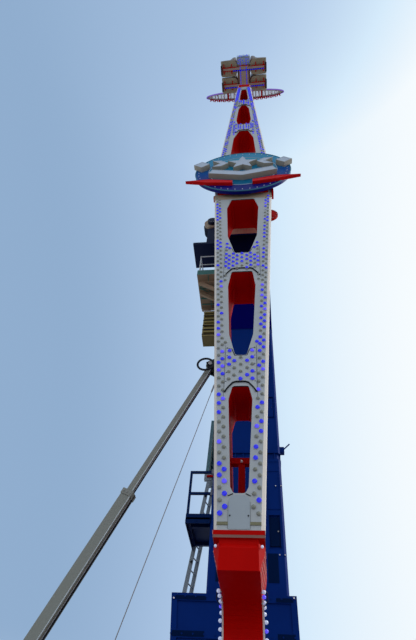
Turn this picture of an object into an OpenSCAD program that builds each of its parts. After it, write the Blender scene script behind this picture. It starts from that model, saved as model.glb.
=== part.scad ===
/* [Mast] */
// Width of the mast column, side to side
mast_w = 1600; // [1300:10:1900]
// Depth of the mast column, front to back
mast_d = 1700; // [1300:10:2000]
// Height at which the mast head starts to reach forward
head_z = 12840; // [12000:20:13400]
// Height of the top of the mast head
head_top = 19700; // [19200:20:20600]
// How far the mast head reaches forward of the mast face
head_reach = 1475; // [1300:5:1600]
// Height at which the head's sloping underside meets its front face
head_knee_z = 16420; // [15800:10:16600]
// Chamfer along the mast's upright edges
mast_edge = 45; // [20:1:80]
// Height of the joint flange of the mast
mast_joint_z = 8155; // [7600:5:8600]

/* [Pedestal and chassis] */
// Height of the pedestal top above the ground
pedestal_top = 5000; // [4700:10:5300]
// How far the pedestal's top reaches to the left of the mast's centre line
pedestal_left = 1426; // [1300:2:1600]
// How much the pedestal's left edge draws in towards its foot
pedestal_draw = 370; // [200:10:450]
// How far the pedestal reaches to the right of the mast's centre line
pedestal_right = 920; // [880:5:1000]
// Thickness of a pedestal cheek
cheek_t = 230; // [150:5:300]
// Underside of the chassis above the ground
chassis_z = 120; // [60:5:200]
// Height of the chassis beams
chassis_h = 430; // [300:5:480]
// Width of one chassis beam
chassis_beam_w = 320; // [200:5:400]
// Length of the chassis to the left of the mast
chassis_left = 6700; // [6300:20:7500]
// Length of the chassis to the right of the mast
chassis_right = 3600; // [3400:20:4500]
// Reach of the front outriggers from the mast's centre
front_reach = 5200; // [4600:20:6000]
// Reach of the rear outriggers from the mast's centre
rear_reach = 3600; // [3000:20:5000]
// Width and height of an outrigger beam
outrigger_t = 320; // [240:5:380]
// Side of an outrigger's square foot plate
foot_w = 900; // [600:10:1100]
// Thickness of an outrigger's foot plate
foot_t = 60; // [30:1:90]

/* [Arm] */
// Height of the hub above the ground
hub_z = 17800; // [17700:10:18200]
// Distance from the mast's face to the arm's front face
arm_reach = 3015; // [2900:5:3150]
// Depth of the arm, front to back
arm_d = 1080; // [900:5:1200]
// Half width of the arm at the hub's centre
arm_root_hw = 1008; // [990:1:1030]
// Half width of the arm at its white end
arm_tip_hw = 360; // [350:1:380]
// Width of the bevel along the arm's front edges
arm_bevel = 35; // [25:1:45]
// Half width of the red plate over the hub
hub_hw = 850; // [820:5:880]
// Half height of the hub box
hub_hh = 1430; // [1350:5:1500]
// How far the red plate stands out in front of the arm
hub_proud = 45; // [20:1:80]
// Thickness of the arm's front panels
face_t = 30; // [15:1:40]
// How far the covers of the bridges between the windows stand out of the front panels
cover_proud = 30; // [15:1:40]
// Width of the cream strip along the arm's sides, from the front face back
trim_d = 600; // [400:5:800]
// Thickness of the side strips
trim_t = 15; // [8:1:25]

/* [Windows in the arm] */
// Solid length between the hub box and the first window
root_margin = 406; // [320:2:480]
// Length of the first window
win1_len = 3354; // [3300:2:3400]
// Length of the bridge between the first and second windows
bridge1 = 928; // [850:2:1000]
// Length of the second window
win2_len = 3125; // [3080:2:3180]
// Length of the bridge between the second and third windows
bridge2 = 861; // [800:2:920]
// Length of the third window
win3_len = 2248; // [2200:2:2300]
// Solid length between the third window and the white end
end_margin = 585; // [500:2:640]
// Width of the arm's margin beside the first window
margin1 = 384; // [360:1:400]
// Width of the arm's margin beside the second window
margin2 = 327; // [310:1:345]
// Width of the arm's margin beside the third window
margin3 = 260; // [250:1:275]
// How much a margin narrows over its window's straight side
margin_draw = 13; // [0:1:20]
// Radius of the windows' corners
win_corner = 60; // [30:1:90]
// Distance of the brace in the third window from its outer end
brace_back = 1010; // [800:5:1200]
// Distance from the arm's front face to the middle of the brace
brace_in = 705; // [400:5:800]
// Width of the brace's bars
brace_t = 118; // [80:1:160]

/* [Bearing] */
// Radius of the slewing ring
ring_r = 790; // [740:2:796]
// Radius of the hub spigot that turns in the slewing ring
spigot_r = 560; // [450:5:600]
// Radius of the hub's red flange
flange_r = 930; // [880:5:960]
// Thickness of the hub flange
flange_t = 130; // [80:1:180]
// Thickness of the slewing ring
ring_t = 120; // [80:1:140]
// Thickness of the round seat behind the slewing ring
seat_t = 260; // [200:5:300]
// Radius of the gearmotor's body
drive_r = 345; // [280:5:370]
// Distance of the gearmotor from the hub's centre line, sideways
drive_out = 1290; // [1250:5:1400]
// Height of the gearmotor above the hub
drive_up = 330; // [250:5:380]
// Radius of the round pinion cover on the other side
cover_r = 450; // [380:5:480]
// Air between a turning piece and its seat
run_gap = 0.3; // [0.2:0.1:0.5]
// Air in a slanting joint between two fixed pieces
fit_gap = 0.3; // [0.2:0.1:0.5]
// Air between turning faces that don't carry
free_gap = 12; // [6:1:20]

/* [Arm ends] */
// Thickness of the red flange on the arm's white end
end_flange_t = 62; // [40:1:90]
// Thickness of the lip behind that flange
lip_t = 48; // [30:1:70]
// Length of the red end block along the arm
block_len = 563; // [500:1:620]
// Half width of the end block's front face
block_front_hw = 285; // [250:1:340]
// Distance from the arm's white end to the gondola axle
axle_out = 2406; // [2380:2:2500]
// Radius of the gondola axle
axle_r = 110; // [80:1:130]
// How far the axle reaches in front of the arm's front face
axle_reach = 560; // [500:5:620]
// Half width of the neck that carries the axle
neck_hw = 300; // [280:1:330]
// Distance from the arm's front face to the neck's front face
neck_front = 1450; // [1430:2:1550]
// Depth of the neck at the axle
neck_d = 700; // [500:5:800]
// Radius of the curve from the end block to the neck
neck_curve = 450; // [350:5:480]
// Length of the neck beyond the axle
neck_over = 560; // [540:2:640]
// Thickness of the strips on the neck's sides
strip_t = 25; // [12:1:35]
// Distance from the gondola axle out to the hoop's middle
hoop_out = 410; // [390:2:440]
// Half width of the hoop, side to side
hoop_hw = 2450; // [2200:5:2600]
// Half depth of the hoop, front to back
hoop_hd = 250; // [220:1:260]
// Height of the hoop's rim
hoop_h = 150; // [100:1:170]
// Distance from the hoop's back to the neck's front face
hoop_gap = 100; // [80:1:130]

/* [Gondola] */
// Width of the gondola's middle beam
beam_w = 780; // [740:5:840]
// Height of the gondola's middle beam
beam_h = 460; // [420:5:520]
// How far the gondola reaches in front of the arm's front face
gondola_front = 1110; // [1060:5:1200]
// Length of one seat along the gondola
seat_l = 850; // [780:5:870]
// Distance from one seat to the next
seat_pitch = 910; // [885:5:930]
// Depth of a seat, from the middle beam outwards
seat_out = 960; // [920:5:990]
// Thickness of a seat shell
shell_t = 60; // [40:1:80]
// Distance from the beam's underside to the bars under the seats
bar_drop = 200; // [180:1:240]

/* [Sign] */
// Radius of the round sign
sign_r = 1700; // [1500:5:1750]
// Thickness of the round sign
sign_t = 130; // [80:1:180]
// Distance from the arm's front face to the back of the sign
sign_gap = 110; // [90:1:160]
// How far the raised blocks stand out of the sign
block_t = 190; // [120:5:240]

/* [Platforms and ladder] */
// Height of the lower platform's floor
low_floor_z = 6684; // [6400:2:6900]
// Height of the upper platform's floor
up_floor_z = 14660; // [14400:10:14900]
// Height of the lower platform's railing above its floor
rail_h = 1090; // [1000:10:1200]
// Height of the upper platform's hand rail above its floor
up_rail_h = 1190; // [1000:10:1250]
// Height of the edge boards around the upper platform
toe_h = 280; // [150:5:320]
// Thickness of a platform floor
floor_t = 60; // [40:1:100]
// Thickness of a railing tube
rail_t = 52; // [35:1:60]
// Reach of the lower platform to the left of the centre line
low_out = 1349; // [1200:1:1500]
// Length of the lower platform, front to back
low_len = 1310; // [1100:10:1330]
// Reach of the upper platform to the left of the centre line
up_out = 1640; // [1500:5:1800]
// Reach of the upper platform in front of the mast's middle
up_front = 1855; // [1700:5:1950]
// Length of the upper platform, front to back
up_len = 1490; // [1300:5:1700]
// Underside of the deck beside the mast head
deck_z = 16570; // [16400:10:16700]
// Reach of that deck to the left of the centre line
deck_out = 1940; // [1700:5:2000]
// Length of that deck, front to back
deck_len = 1050; // [800:5:1300]
// Height of the ladder's top
ladder_top = 10280; // [9800:10:10600]
// Height at which the ladder's two sections meet
ladder_joint_z = 8300; // [8000:10:8600]
// Distance of the ladder's front leg from the centre line at its foot
ladder_foot_x = 1520; // [1440:5:1560]
// Distance of that leg from the centre line at the joint
ladder_joint_x = 1070; // [1040:5:1100]
// Distance of the upper section's front leg from the centre line
ladder_upper_x = 1130; // [1100:5:1160]
// Width of a ladder leg
ladder_leg_w = 90; // [60:2:100]

/* [Telescopic strut] */
// Height of the strut's head pin on the mast
strut_top_z = 11450; // [11000:10:12000]
// Side of the strut's lower square tube
strut_w = 255; // [220:5:300]
// Side of the strut's upper square tube
strut_top_w = 155; // [130:5:180]
// Distance of the strut's foot pin to the left of the mast's centre line
strut_foot_x = 5490; // [5300:10:5700]
// Height at which the stay wire meets the mast
stay_top_z = 10970; // [10800:10:11200]
// Distance of the stay wire's foot to the left of the centre line
stay_foot_x = 3333; // [3200:1:3450]
// Radius of the stay wire
stay_r = 10; // [8:1:16]

/* [Hidden] */

$fn = 64;
// Overshoot of a cut past the face it leaves
cut = 5;

mast_front = -mast_d / 2;
head_front = mast_front - head_reach;
arm_y = mast_front - arm_reach;
arm_back = arm_y + arm_d;
// Back of the slewing ring is the mast head's front face
ring_front = head_front - ring_t;
flange_back = ring_front - free_gap;
flange_front = flange_back - flange_t;
chassis_top = chassis_z + chassis_h;
win1_start = hub_hh + root_margin;
win1_end = win1_start + win1_len;
win2_start = win1_end + bridge1;
win2_end = win2_start + win2_len;
win3_start = win2_end + bridge2;
win3_end = win3_start + win3_len;
arm_len = win3_end + end_margin;
axle_s = arm_len + axle_out;
hoop_s = axle_s + hoop_out;

// Half width of the arm at distance s from the hub
function arm_hw(s) = arm_root_hw + (arm_tip_hw - arm_root_hw) * s / arm_len;

// Window outlines: inner end, shoulder, start of the outer taper, outer end, then half widths
win_shoulder = [594, 630, 324];
win_taper = [920, 653, 110];
win_in_hw = [375, 272, 159];
win_out_hw = [200, 119, 96];
windows = [
  [win1_start, win1_end, margin1],
  [win2_start, win2_end, margin2],
  [win3_start, win3_end, margin3]];
// Slant of the arm's sides, and the bevel's width across the arm
arm_slant = atan((arm_root_hw - arm_tip_hw) / arm_len);
bevel_w = arm_bevel / cos(arm_slant);

// Box with chamfered upright edges, its base centre at the origin
module chamfered_box(w, d, h, c) {
  linear_extrude(height = h)
    polygon([
      [-w / 2 + c, -d / 2], [w / 2 - c, -d / 2], [w / 2, -d / 2 + c], [w / 2, d / 2 - c],
      [w / 2 - c, d / 2], [-w / 2 + c, d / 2], [-w / 2, d / 2 - c], [-w / 2, -d / 2 + c]]);
}

// Cuboid between two corners
module span(a, b) {
  translate(a) cube([b[0] - a[0], b[1] - a[1], b[2] - a[2]]);
}

// Turns what stands on its end so that it points from a to b
module along(a, b) {
  v = b - a;
  translate(a) rotate([0, acos(v[2] / norm(v)), atan2(v[1], v[0])]) children();
}

// Straight round tube between two points
module rod(a, b, r) {
  along(a, b) cylinder(r = r, h = norm(b - a));
}

// Straight square tube between two points
module bar(a, b, w) {
  along(a, b) translate([-w / 2, -w / 2, 0]) cube([w, w, norm(b - a)]);
}

// Pin that lies front to back, centred on a point
module pin(p, r, len) {
  translate(p - [0, len / 2, 0]) rotate([-90, 0, 0]) cylinder(r = r, h = len);
}

// Outline in side view, points (y, z), drawn out across the middle over a width
module side_profile(points, w) {
  translate([-w / 2, 0, 0])
    rotate([90, 0, 90])
      linear_extrude(height = w) polygon(points);
}

// Outline in front view, points (x, z), drawn out backwards from y0 over a depth
module front_profile(y0, depth) {
  translate([0, y0 + depth, 0])
    rotate([90, 0, 0])
      linear_extrude(height = depth) children();
}

// Places one half of the arm: up is the drawn half, the other is its half turn about the hub
module arm_half(up) {
  translate([0, 0, hub_z])
    rotate([0, up ? 0 : 180, 0]) children();
}

function reverse(v) = [for (i = [len(v) - 1:-1:0]) v[i]];

// Points and their mirror image in x, as one closed outline
function both_sides(v) = concat(v, [for (p = reverse(v)) [-p[0], p[1]]]);

// Outline with each corner rounded in n flats
function rounded(p, r, n) = [
  for (i = [0:len(p) - 1])
    let (
      a = p[(i + len(p) - 1) % len(p)], b = p[i], c = p[(i + 1) % len(p)],
      u = (a - b) / norm(a - b), v = (c - b) / norm(c - b), half = acos(u * v) / 2,
      m = b + (u + v) / norm(u + v) * r / sin(half),
      s = b + u * r / tan(half) - m, e = b + v * r / tan(half) - m,
      start = atan2(s[1], s[0]), turn = (atan2(e[1], e[0]) - start + 900) % 360 - 180)
      for (k = [0:n]) m + r * [cos(start + turn * k / n), sin(start + turn * k / n)]];

/* chassis and outriggers */

beam_y = mast_d / 2 + cheek_t - chassis_beam_w / 2;
// Distance of the outriggers from the chassis's left and right ends
outrigger_in = [700, 500];
outrigger_x = [-chassis_left + outrigger_in[0], chassis_right - outrigger_in[1]];
// Width of a chassis cross beam
cross_w = 260;
// Length and height of a lug of the strut's foot
foot_lug = [600, 560];

module chassis() {
  color("midnightblue") {
    for (s = [-1, 1])
      translate([-chassis_left, s * beam_y - chassis_beam_w / 2, chassis_z])
        cube([chassis_left + chassis_right, chassis_beam_w, chassis_h]);
    for (x = [-chassis_left, -chassis_left / 2, -pedestal_left, pedestal_right, chassis_right - cross_w])
      translate([x, -beam_y, chassis_z])
        cube([cross_w, 2 * beam_y, chassis_h]);
    // ground plate under the mast
    span([-mast_w / 2, -mast_d / 2, 0], [mast_w / 2, mast_d / 2, chassis_z + cut]);
    span([-mast_w / 2 - 200, -mast_d / 2 - cut, chassis_z],
         [mast_w / 2 + 200, mast_d / 2 + cut, chassis_top]);
    // lugs of the strut's foot pin
    for (s = [-1, 1])
      difference() {
        translate([-strut_foot_x, strut_y + s * lug_mid(strut_w), chassis_top - cut])
          translate([-foot_lug[0] / 2, -lug_t / 2, 0])
            cube([foot_lug[0], lug_t, foot_lug[1] + cut]);
        pin(strut_foot, pin_r, 2 * strut_w);
      }
    // cross beam under those lugs
    span([-strut_foot_x - foot_lug[0] / 2 - 20, -beam_y, chassis_z],
         [-strut_foot_x + foot_lug[0] / 2 + 20, beam_y, chassis_top]);
  }
}

// Outrigger beam with its jack and foot plate, from the chassis out to y_end
module outrigger(x, y_start, y_end) {
  s = sign(y_end);
  color("midnightblue")
    translate([x - outrigger_t / 2, min(y_start, y_end), chassis_z + 40])
      cube([outrigger_t, abs(y_end - y_start), outrigger_t]);
  color("silver")
    translate([x, y_end - s * 320, 0]) {
      translate([-foot_w / 2, -foot_w / 2, 0]) cube([foot_w, foot_w, foot_t]);
      cylinder(r = 110, h = chassis_z + outrigger_t + 160);
      translate([0, 0, chassis_z]) cylinder(r = 170, h = outrigger_t + 80);
    }
}

outrigger_start = beam_y + chassis_beam_w / 2;

module outrigger_front_left() { outrigger(outrigger_x[0], -outrigger_start, -front_reach); }
module outrigger_front_right() { outrigger(outrigger_x[1], -outrigger_start, -front_reach); }
module outrigger_rear_left() { outrigger(outrigger_x[0], outrigger_start, rear_reach); }
module outrigger_rear_right() { outrigger(outrigger_x[1], outrigger_start, rear_reach); }

/* mast */

// Left edge of the pedestal at height z
function pedestal_x(z) =
  -pedestal_left + pedestal_draw * (pedestal_top - z) / (pedestal_top - chassis_top);

// Outline across the pedestal between two heights, set in from its side edges
function cheek_outline(z0, z1, inset) = [
  [pedestal_x(z0) + inset, z0], [pedestal_right - inset, z0],
  [pedestal_right - inset, z1], [pedestal_x(z1) + inset, z1]];

// Recessed panels of the cheeks: depth, distance from the cheek's edges, height of the upper one
panel_d = 25;
panel_in = 110;
panel_h = 470;
// Thickness of the pedestal's left wall and of the plate on its top
side_t = 120;
top_t = 80;

// Two cheeks that the mast's foot stands between, joined by ties
module pedestal() {
  panel_top = pedestal_top - 130;
  color("navy") {
    for (s = [0, 1]) mirror([0, s, 0])
      difference() {
        front_profile(-mast_d / 2 - cheek_t, cheek_t)
          polygon(cheek_outline(chassis_top, pedestal_top, 0));
        front_profile(-mast_d / 2 - cheek_t - cut, panel_d + cut) {
          polygon(cheek_outline(panel_top - panel_h, panel_top, panel_in));
          polygon(cheek_outline(chassis_top + 150, panel_top - panel_h - 130, panel_in));
        }
      }
    front_profile(-mast_d / 2 - cut, mast_d + 2 * cut)
      polygon([
        [-pedestal_left, pedestal_top], [pedestal_x(chassis_top), chassis_top],
        [pedestal_x(chassis_top) + side_t, chassis_top], [-pedestal_left + side_t, pedestal_top]]);
    span([-pedestal_left + side_t / 2, -mast_d / 2 - cut, pedestal_top - top_t],
         [-mast_w / 2, mast_d / 2 + cut, pedestal_top]);
  }
}

// Width, depth and height of a hand hole in the mast's face, and their heights above the pedestal
// and above the joint
hand_hole = [240, 45, 700];
hand_hole_up = [970, 1150];
// Distance from the mast's side to the middle of a hand hole
hand_hole_in = 215;
// Height of the open joint between the mast's two lengths
mast_gap_h = 170;
// How deep that joint is recessed
mast_gap_d = 35;

module mast() {
  color("navy")
    difference() {
      translate([0, 0, chassis_top])
        chamfered_box(mast_w, mast_d, head_z - chassis_top, mast_edge);
      // open joint of the two mast lengths
      difference() {
        translate([0, 0, mast_joint_z - mast_gap_h / 2])
          chamfered_box(mast_w + 2 * cut, mast_d + 2 * cut, mast_gap_h, mast_edge);
        translate([0, 0, mast_joint_z - mast_gap_h])
          chamfered_box(mast_w - 2 * mast_gap_d, mast_d - 2 * mast_gap_d, 2 * mast_gap_h, mast_edge);
      }
      // hand holes above the pedestal and above the joint
      for (s = [-1, 1], z = [pedestal_top + hand_hole_up[0], mast_joint_z + hand_hole_up[1]])
        translate([s * (mast_w / 2 - hand_hole_in) - hand_hole[0] / 2, mast_front - cut, z])
          cube([hand_hole[0], hand_hole[1] + cut, hand_hole[2]]);
    }
}

// Bevels of the head's top: back and down at its front, and at its rear
head_bevel = [500, 700, 400, 500];

// Head that reaches forward to the slewing ring
module mast_head() {
  color("navy")
    difference() {
      union() {
        side_profile([
          [mast_front, head_z], [head_front, head_knee_z], [head_front, head_top - head_bevel[1]],
          [head_front + head_bevel[0], head_top], [mast_d / 2 - head_bevel[2], head_top],
          [mast_d / 2, head_top - head_bevel[3]], [mast_d / 2, head_z]], mast_w);
        translate([0, head_front + seat_t, hub_z])
          rotate([90, 0, 0]) cylinder(r = ring_r, h = seat_t);
      }
      translate([0, head_front + 300, hub_z])
        rotate([90, 0, 0]) cylinder(r = spigot_r + 60, h = 300 + cut);
    }
}

// Fixed ring of the main bearing
module slew_ring() {
  color("dimgray")
    translate([0, head_front, hub_z])
      rotate([90, 0, 0])
        difference() {
          union() {
            cylinder(r = ring_r, h = ring_t - 40);
            cylinder(r = ring_r - 60, h = ring_t);
          }
          translate([0, 0, -cut]) cylinder(r = spigot_r + run_gap, h = ring_t + 2 * cut);
        }
}

drive_y = head_front + seat_t + 10;
drive_z = hub_z + drive_up;

// Gearmotor from its front: length and share of the body's radius of cap, brake, motor and fan hood
drive_len = [135, 110, 400, 375];
drive_share = [0.54, 0.9, 1, 0.74];
function drive_at(i) = i == 0 ? 0 : drive_at(i - 1) + drive_len[i - 1];
// Height and thickness of the plate that ties it to the mast head
drive_plate = [380, 120];

// Gearmotor beside the slewing ring, its shaft lying front to back
module drive_left() {
  translate([-drive_out, drive_y, drive_z])
    rotate([-90, 0, 0])
      for (i = [0:3])
        color(i == 1 ? "tan" : "darkslategray")
          translate([0, 0, drive_at(i)])
            cylinder(r = drive_r * drive_share[i], h = drive_len[i] + (i < 3 ? cut : 0));
  color("darkslategray")
    span([-drive_out, drive_y + drive_at(2), drive_z - drive_plate[0] / 2],
         [-mast_w / 2, drive_y + drive_at(2) + drive_plate[1], drive_z + drive_plate[0] / 2]);
}

// Thickness of the round pinion cover and of its bearing cap
cover_t = 80;
cover_cap_t = 50;

// Half round cover of the second pinion on the right side of the mast head, with its bearing cap
module drive_right() {
  color("firebrick")
    difference() {
      translate([mast_w / 2, head_front + cover_t, hub_z])
        rotate([90, 0, 0]) {
          cylinder(r = cover_r, h = cover_t);
          cylinder(r = cover_r / 3, h = cover_t + cover_cap_t);
        }
      span([mast_w / 2 - cover_r - cut, head_front - 2 * cover_cap_t, hub_z - cover_r - cut],
           [mast_w / 2, head_front + 2 * cover_t, hub_z + cover_r + cut]);
      // room for the round seat and the slewing ring
      translate([0, head_front + 2 * cover_t, hub_z])
        rotate([90, 0, 0]) cylinder(r = ring_r + 2 * cut, h = 2 * cover_t + 2 * cover_cap_t);
    }
}

deck_y = head_front + seat_t + 160;
deck_t = 120;
// Half width and depth of the pillar under the gearmotor, and height of its saddle
pillar_hw = 160;
pillar_d = 340;
saddle_h = 120;

// Plate beside the mast head with the pillar under the gearmotor
module drive_deck() {
  pillar_top = drive_z - drive_r - saddle_h / 2;
  color("midnightblue") {
    span([-deck_out, deck_y, deck_z], [-mast_w / 2, deck_y + deck_len, deck_z + deck_t]);
    span([-drive_out - pillar_hw, deck_y, deck_z + deck_t - cut],
         [-mast_w / 2, deck_y + pillar_d, pillar_top]);
    // saddle that the gearmotor lies in
    difference() {
      span([-drive_out - pillar_hw, drive_y + drive_at(2), pillar_top - cut],
           [-drive_out + pillar_hw, deck_y + pillar_d, pillar_top + saddle_h]);
      translate([-drive_out, drive_y, drive_z])
        rotate([-90, 0, 0]) cylinder(r = drive_r + run_gap, h = 2 * pillar_d + deck_y - drive_y);
    }
  }
}

up_y0 = -up_front;
up_y1 = up_y0 + up_len;
up_under = up_floor_z - floor_t;
toe_t = 30;

module upper_platform() {
  color("peru")
    span([-up_out, up_y0, up_under], [-mast_w / 2, up_y1, up_floor_z]);
  color("teal") {
    // edge boards
    span([-up_out, up_y0, up_under], [-up_out + toe_t, up_y1, up_under + toe_h]);
    span([-up_out, up_y0, up_under], [-mast_w / 2, up_y0 + toe_t, up_under + toe_h]);
    span([-up_out, up_y1 - toe_t, up_under], [-mast_w / 2, up_y1, up_under + toe_h]);
    for (y = [up_y0 + 260, (up_y0 + up_y1 - brace_w) / 2, up_y1 - brace_w])
      side_brace(y);
  }
}

// Width of a bracket under the upper platform, and how far it reaches down the mast's side
brace_w = 80;
brace_down = 700;

// Triangular bracket under the upper platform
module side_brace(y) {
  translate([0, y + brace_w, 0])
    rotate([90, 0, 0])
      linear_extrude(height = brace_w)
        difference() {
          polygon([
            [-mast_w / 2, up_under + cut], [-up_out + toe_t, up_under + cut],
            [-up_out + toe_t, up_under - 120], [-mast_w / 2, up_under - brace_down]]);
          polygon([
            [-mast_w / 2 - 90, up_under - 90], [-up_out + 220, up_under - 90],
            [-mast_w / 2 - 90, up_under - brace_down + 200]]);
        }
}

// Radius of the hand rail and, as shares of it, of its ends and its posts
hand_r = rail_t * 0.4;
end_share = 0.9;
post_share = 0.8;

// Round hand rail on three posts inside the edge boards
module upper_railing() {
  x = -up_out + toe_t + hand_r + 1;
  z = up_floor_z + up_rail_h - hand_r;
  y0 = up_y0 + toe_t + hand_r + 1;
  y1 = up_y1 - toe_t - hand_r - 1;
  color("whitesmoke") {
    for (y = [y0, (y0 + y1) / 2, y1])
      rod([x, y, up_floor_z], [x, y, z], hand_r * post_share);
    rod([x, y0 - hand_r, z], [x, y1 + hand_r, z], hand_r);
    for (y = [y0, y1])
      rod([x, y, z], [-mast_w / 2, y, z], hand_r * end_share);
  }
}

// Width, depth and height of the slatted box, and the pitch and height of its slots
vent = [640, 470, 1260];
vent_pitch = 165;
vent_slot = 90;

// Slatted box under the upper platform
module vent_box() {
  z1 = up_under - brace_down - 20;
  z0 = z1 - vent[2];
  x0 = -mast_w / 2 - vent[0];
  y0 = up_y1 - vent[1];
  color("olive")
    difference() {
      span([x0, y0, z0], [-mast_w / 2, up_y1, z1]);
      for (i = [0:floor((vent[2] - vent_slot) / vent_pitch) - 1])
        span([x0 + 40, y0 - cut, z0 + vent_slot + i * vent_pitch],
             [-mast_w / 2 - 60, y0 + 60, z0 + 2 * vent_slot + i * vent_pitch]);
    }
}

low_y0 = mast_front;
low_y1 = low_y0 + low_len;
// Height and width of the beams under the lower platform, and place of the middle one
low_beam_h = 66;
low_beam_w = 80;
low_beam_in = 360;

// Floor beside the mast on a frame of edge beams and one cross beam
module lower_platform() {
  z0 = low_floor_z - floor_t - low_beam_h;
  z1 = low_floor_z - floor_t + cut;
  color("navy") {
    span([-low_out, low_y0, low_floor_z - floor_t], [-mast_w / 2, low_y1, low_floor_z]);
    span([-low_out, low_y0, z0], [-low_out + low_beam_w, low_y1, z1]);
    for (y = [low_y0, low_y0 + low_beam_in, low_y1 - low_beam_w])
      span([-low_out, y, z0], [-mast_w / 2, y + low_beam_w, z1]);
  }
}

// Square tube frame at the front of the lower platform
module lower_railing() {
  color("royalblue") {
    for (h = [rail_h / 2, rail_h])
      span([-low_out, low_y0 + mast_edge, low_floor_z + h - rail_t],
           [-mast_w / 2, low_y0 + mast_edge + rail_t, low_floor_z + h]);
    span([-low_out, low_y0 + mast_edge, low_floor_z],
         [-low_out + rail_t, low_y0 + mast_edge + rail_t, low_floor_z + rail_h]);
  }
}

// Places of the ladder's front and rear leg, front to back
ladder_y = [mast_d / 2 - 350, mast_d / 2 - 30];
ladder_plate_t = 25;
ladder_base = pedestal_top + ladder_plate_t;
ladder_leg_t = 36;
// How much further in the rear leg stands
ladder_in = 90;
// Length and half depth of the coupling between the two sections
coupling = [220, 40];
rung_r = 15;
rung_pitch = 280;
// Rise of the ties to the mast above the platform's floor, and drop below the ladder's top
tie_up = 500;
tie_down = 160;

// Middle of the lower section's front (k = 0) or rear (k = 1) leg at height z
function low_leg(k, z) =
  let (rise = (z - ladder_base) / (ladder_joint_z - ladder_base))
    [-ladder_foot_x + (ladder_foot_x - ladder_joint_x) * rise + k * ladder_in, ladder_y[k], z];

// Middle of the upper section's front or rear leg at height z
function up_leg(k, z) = [
  -ladder_upper_x + 0.035 * (z - ladder_joint_z) + k * ladder_in, ladder_y[k], z];

// Flat bar that stands with its broad side to the front
module flat_bar(a, b) {
  along(a, b)
    translate([-ladder_leg_w / 2, -ladder_leg_t / 2, 0])
      cube([ladder_leg_w, ladder_leg_t, norm(b - a)]);
}

// Ladder in two sections on the mast's left side, from the pedestal's top to above the platform
module ladder() {
  up_start = ladder_joint_z + coupling[0];
  color("lightgray") {
    for (k = [0, 1]) {
      flat_bar(low_leg(k, ladder_base - cut), low_leg(k, ladder_joint_z + 20));
      flat_bar(up_leg(k, up_start - 40), up_leg(k, ladder_top));
      span([up_leg(k, ladder_joint_z)[0] - 60, ladder_y[k] - coupling[1], ladder_joint_z],
           [low_leg(k, ladder_joint_z)[0] + 70, ladder_y[k] + coupling[1], up_start]);
      // ties to the mast's side
      for (p = [
        low_leg(k, low_floor_z + tie_up), up_leg(k, ladder_joint_z + coupling[0] / 2),
        up_leg(k, ladder_top - tie_down)])
        span(p - [0, 15, 25], [-mast_w / 2, p[1] + 15, p[2] + 25]);
    }
    for (z = [ladder_base + 200:rung_pitch:ladder_joint_z - 60])
      rod(low_leg(0, z), low_leg(1, z), rung_r);
    for (z = [up_start + 120:rung_pitch:ladder_top - 60])
      rod(up_leg(0, z), up_leg(1, z), rung_r);
    // foot plate on the pedestal's top
    span([low_leg(0, ladder_base)[0] - 70, ladder_y[0] - coupling[1], pedestal_top],
         [low_leg(1, ladder_base)[0] + 80, ladder_y[1] + 30, ladder_base]);
  }
}

/* telescopic strut that raised the mast */

strut_y = mast_front + 260;
strut_head = [-mast_w / 2 - 290, strut_y, strut_top_z];
strut_foot = [-strut_foot_x, strut_y, chassis_top + 330];
strut_v = strut_head - strut_foot;
pin_r = 60;
lug_t = 60;
// Distance from the strut's middle to the middle of a lug beside a tube of width w
function lug_mid(w) = w / 2 + 15 + lug_t / 2;
function pin_len(w) = w + 2 * (15 + lug_t + 15);
// Point of the strut where the upper tube leaves the lower one
strut_joint = strut_foot + 0.61 * strut_v;

module strut_lower() {
  color("lightgray") {
    bar(strut_foot + 0.022 * strut_v, strut_joint, strut_w);
    bar(strut_joint - 0.012 * strut_v, strut_joint, strut_w + 30);
    pin(strut_foot, strut_w * 0.74, strut_w);
    bar(strut_foot, strut_foot + 0.023 * strut_v, strut_w - 15);
    pin(strut_foot, pin_r - run_gap, pin_len(strut_w));
  }
}

module strut_upper() {
  color("gainsboro") {
    bar(strut_joint + fit_gap * strut_v / norm(strut_v), strut_head - 0.008 * strut_v, strut_top_w);
    pin(strut_head, 150, strut_top_w);
    pin(strut_head, pin_r - run_gap, pin_len(strut_top_w));
  }
}

// How far the head's bracket reaches down and up from the pin on the mast's side
bracket_reach = [400, 270];

// Forked bracket on the mast's side for the strut's head pin
module strut_bracket() {
  reach = lug_mid(strut_top_w) + lug_t / 2;
  z0 = strut_top_z - bracket_reach[0];
  z1 = strut_top_z + bracket_reach[1];
  color("darkslategray") {
    for (s = [-1, 1])
      difference() {
        translate([0, strut_y + s * lug_mid(strut_top_w) + lug_t / 2, 0])
          rotate([90, 0, 0])
            linear_extrude(height = lug_t)
              polygon([
                [-mast_w / 2, z0], [strut_head[0] - 90, strut_top_z - 130],
                [strut_head[0] - 140, strut_top_z + 70], [strut_head[0] + 20, strut_top_z + 170],
                [-mast_w / 2, z1]]);
        pin(strut_head, pin_r, 2 * reach + 2 * cut);
      }
    span([-mast_w / 2 - 40, strut_y - reach, z0], [-mast_w / 2, strut_y + reach, z1]);
  }
}

// Radius of the hose and of its loop, and how far the loop's middle lies left of and below the pin
hose_r = 32;
hose_loop_r = 235;
hose_off = [150, 60];

// Hydraulic hose that loops out beside the strut's head, against the end of its pin
module hose_loop() {
  miss = max(0, hose_loop_r - norm(hose_off) - pin_r);
  y = strut_y - pin_len(strut_top_w) / 2 - sqrt(hose_r * hose_r - miss * miss) - run_gap;
  color("darkgray")
    translate([strut_head[0] - hose_off[0], y, strut_top_z - hose_off[1]])
      rotate([90, 0, 0]) rotate_extrude() translate([hose_loop_r, 0]) circle(r = hose_r);
}

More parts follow.
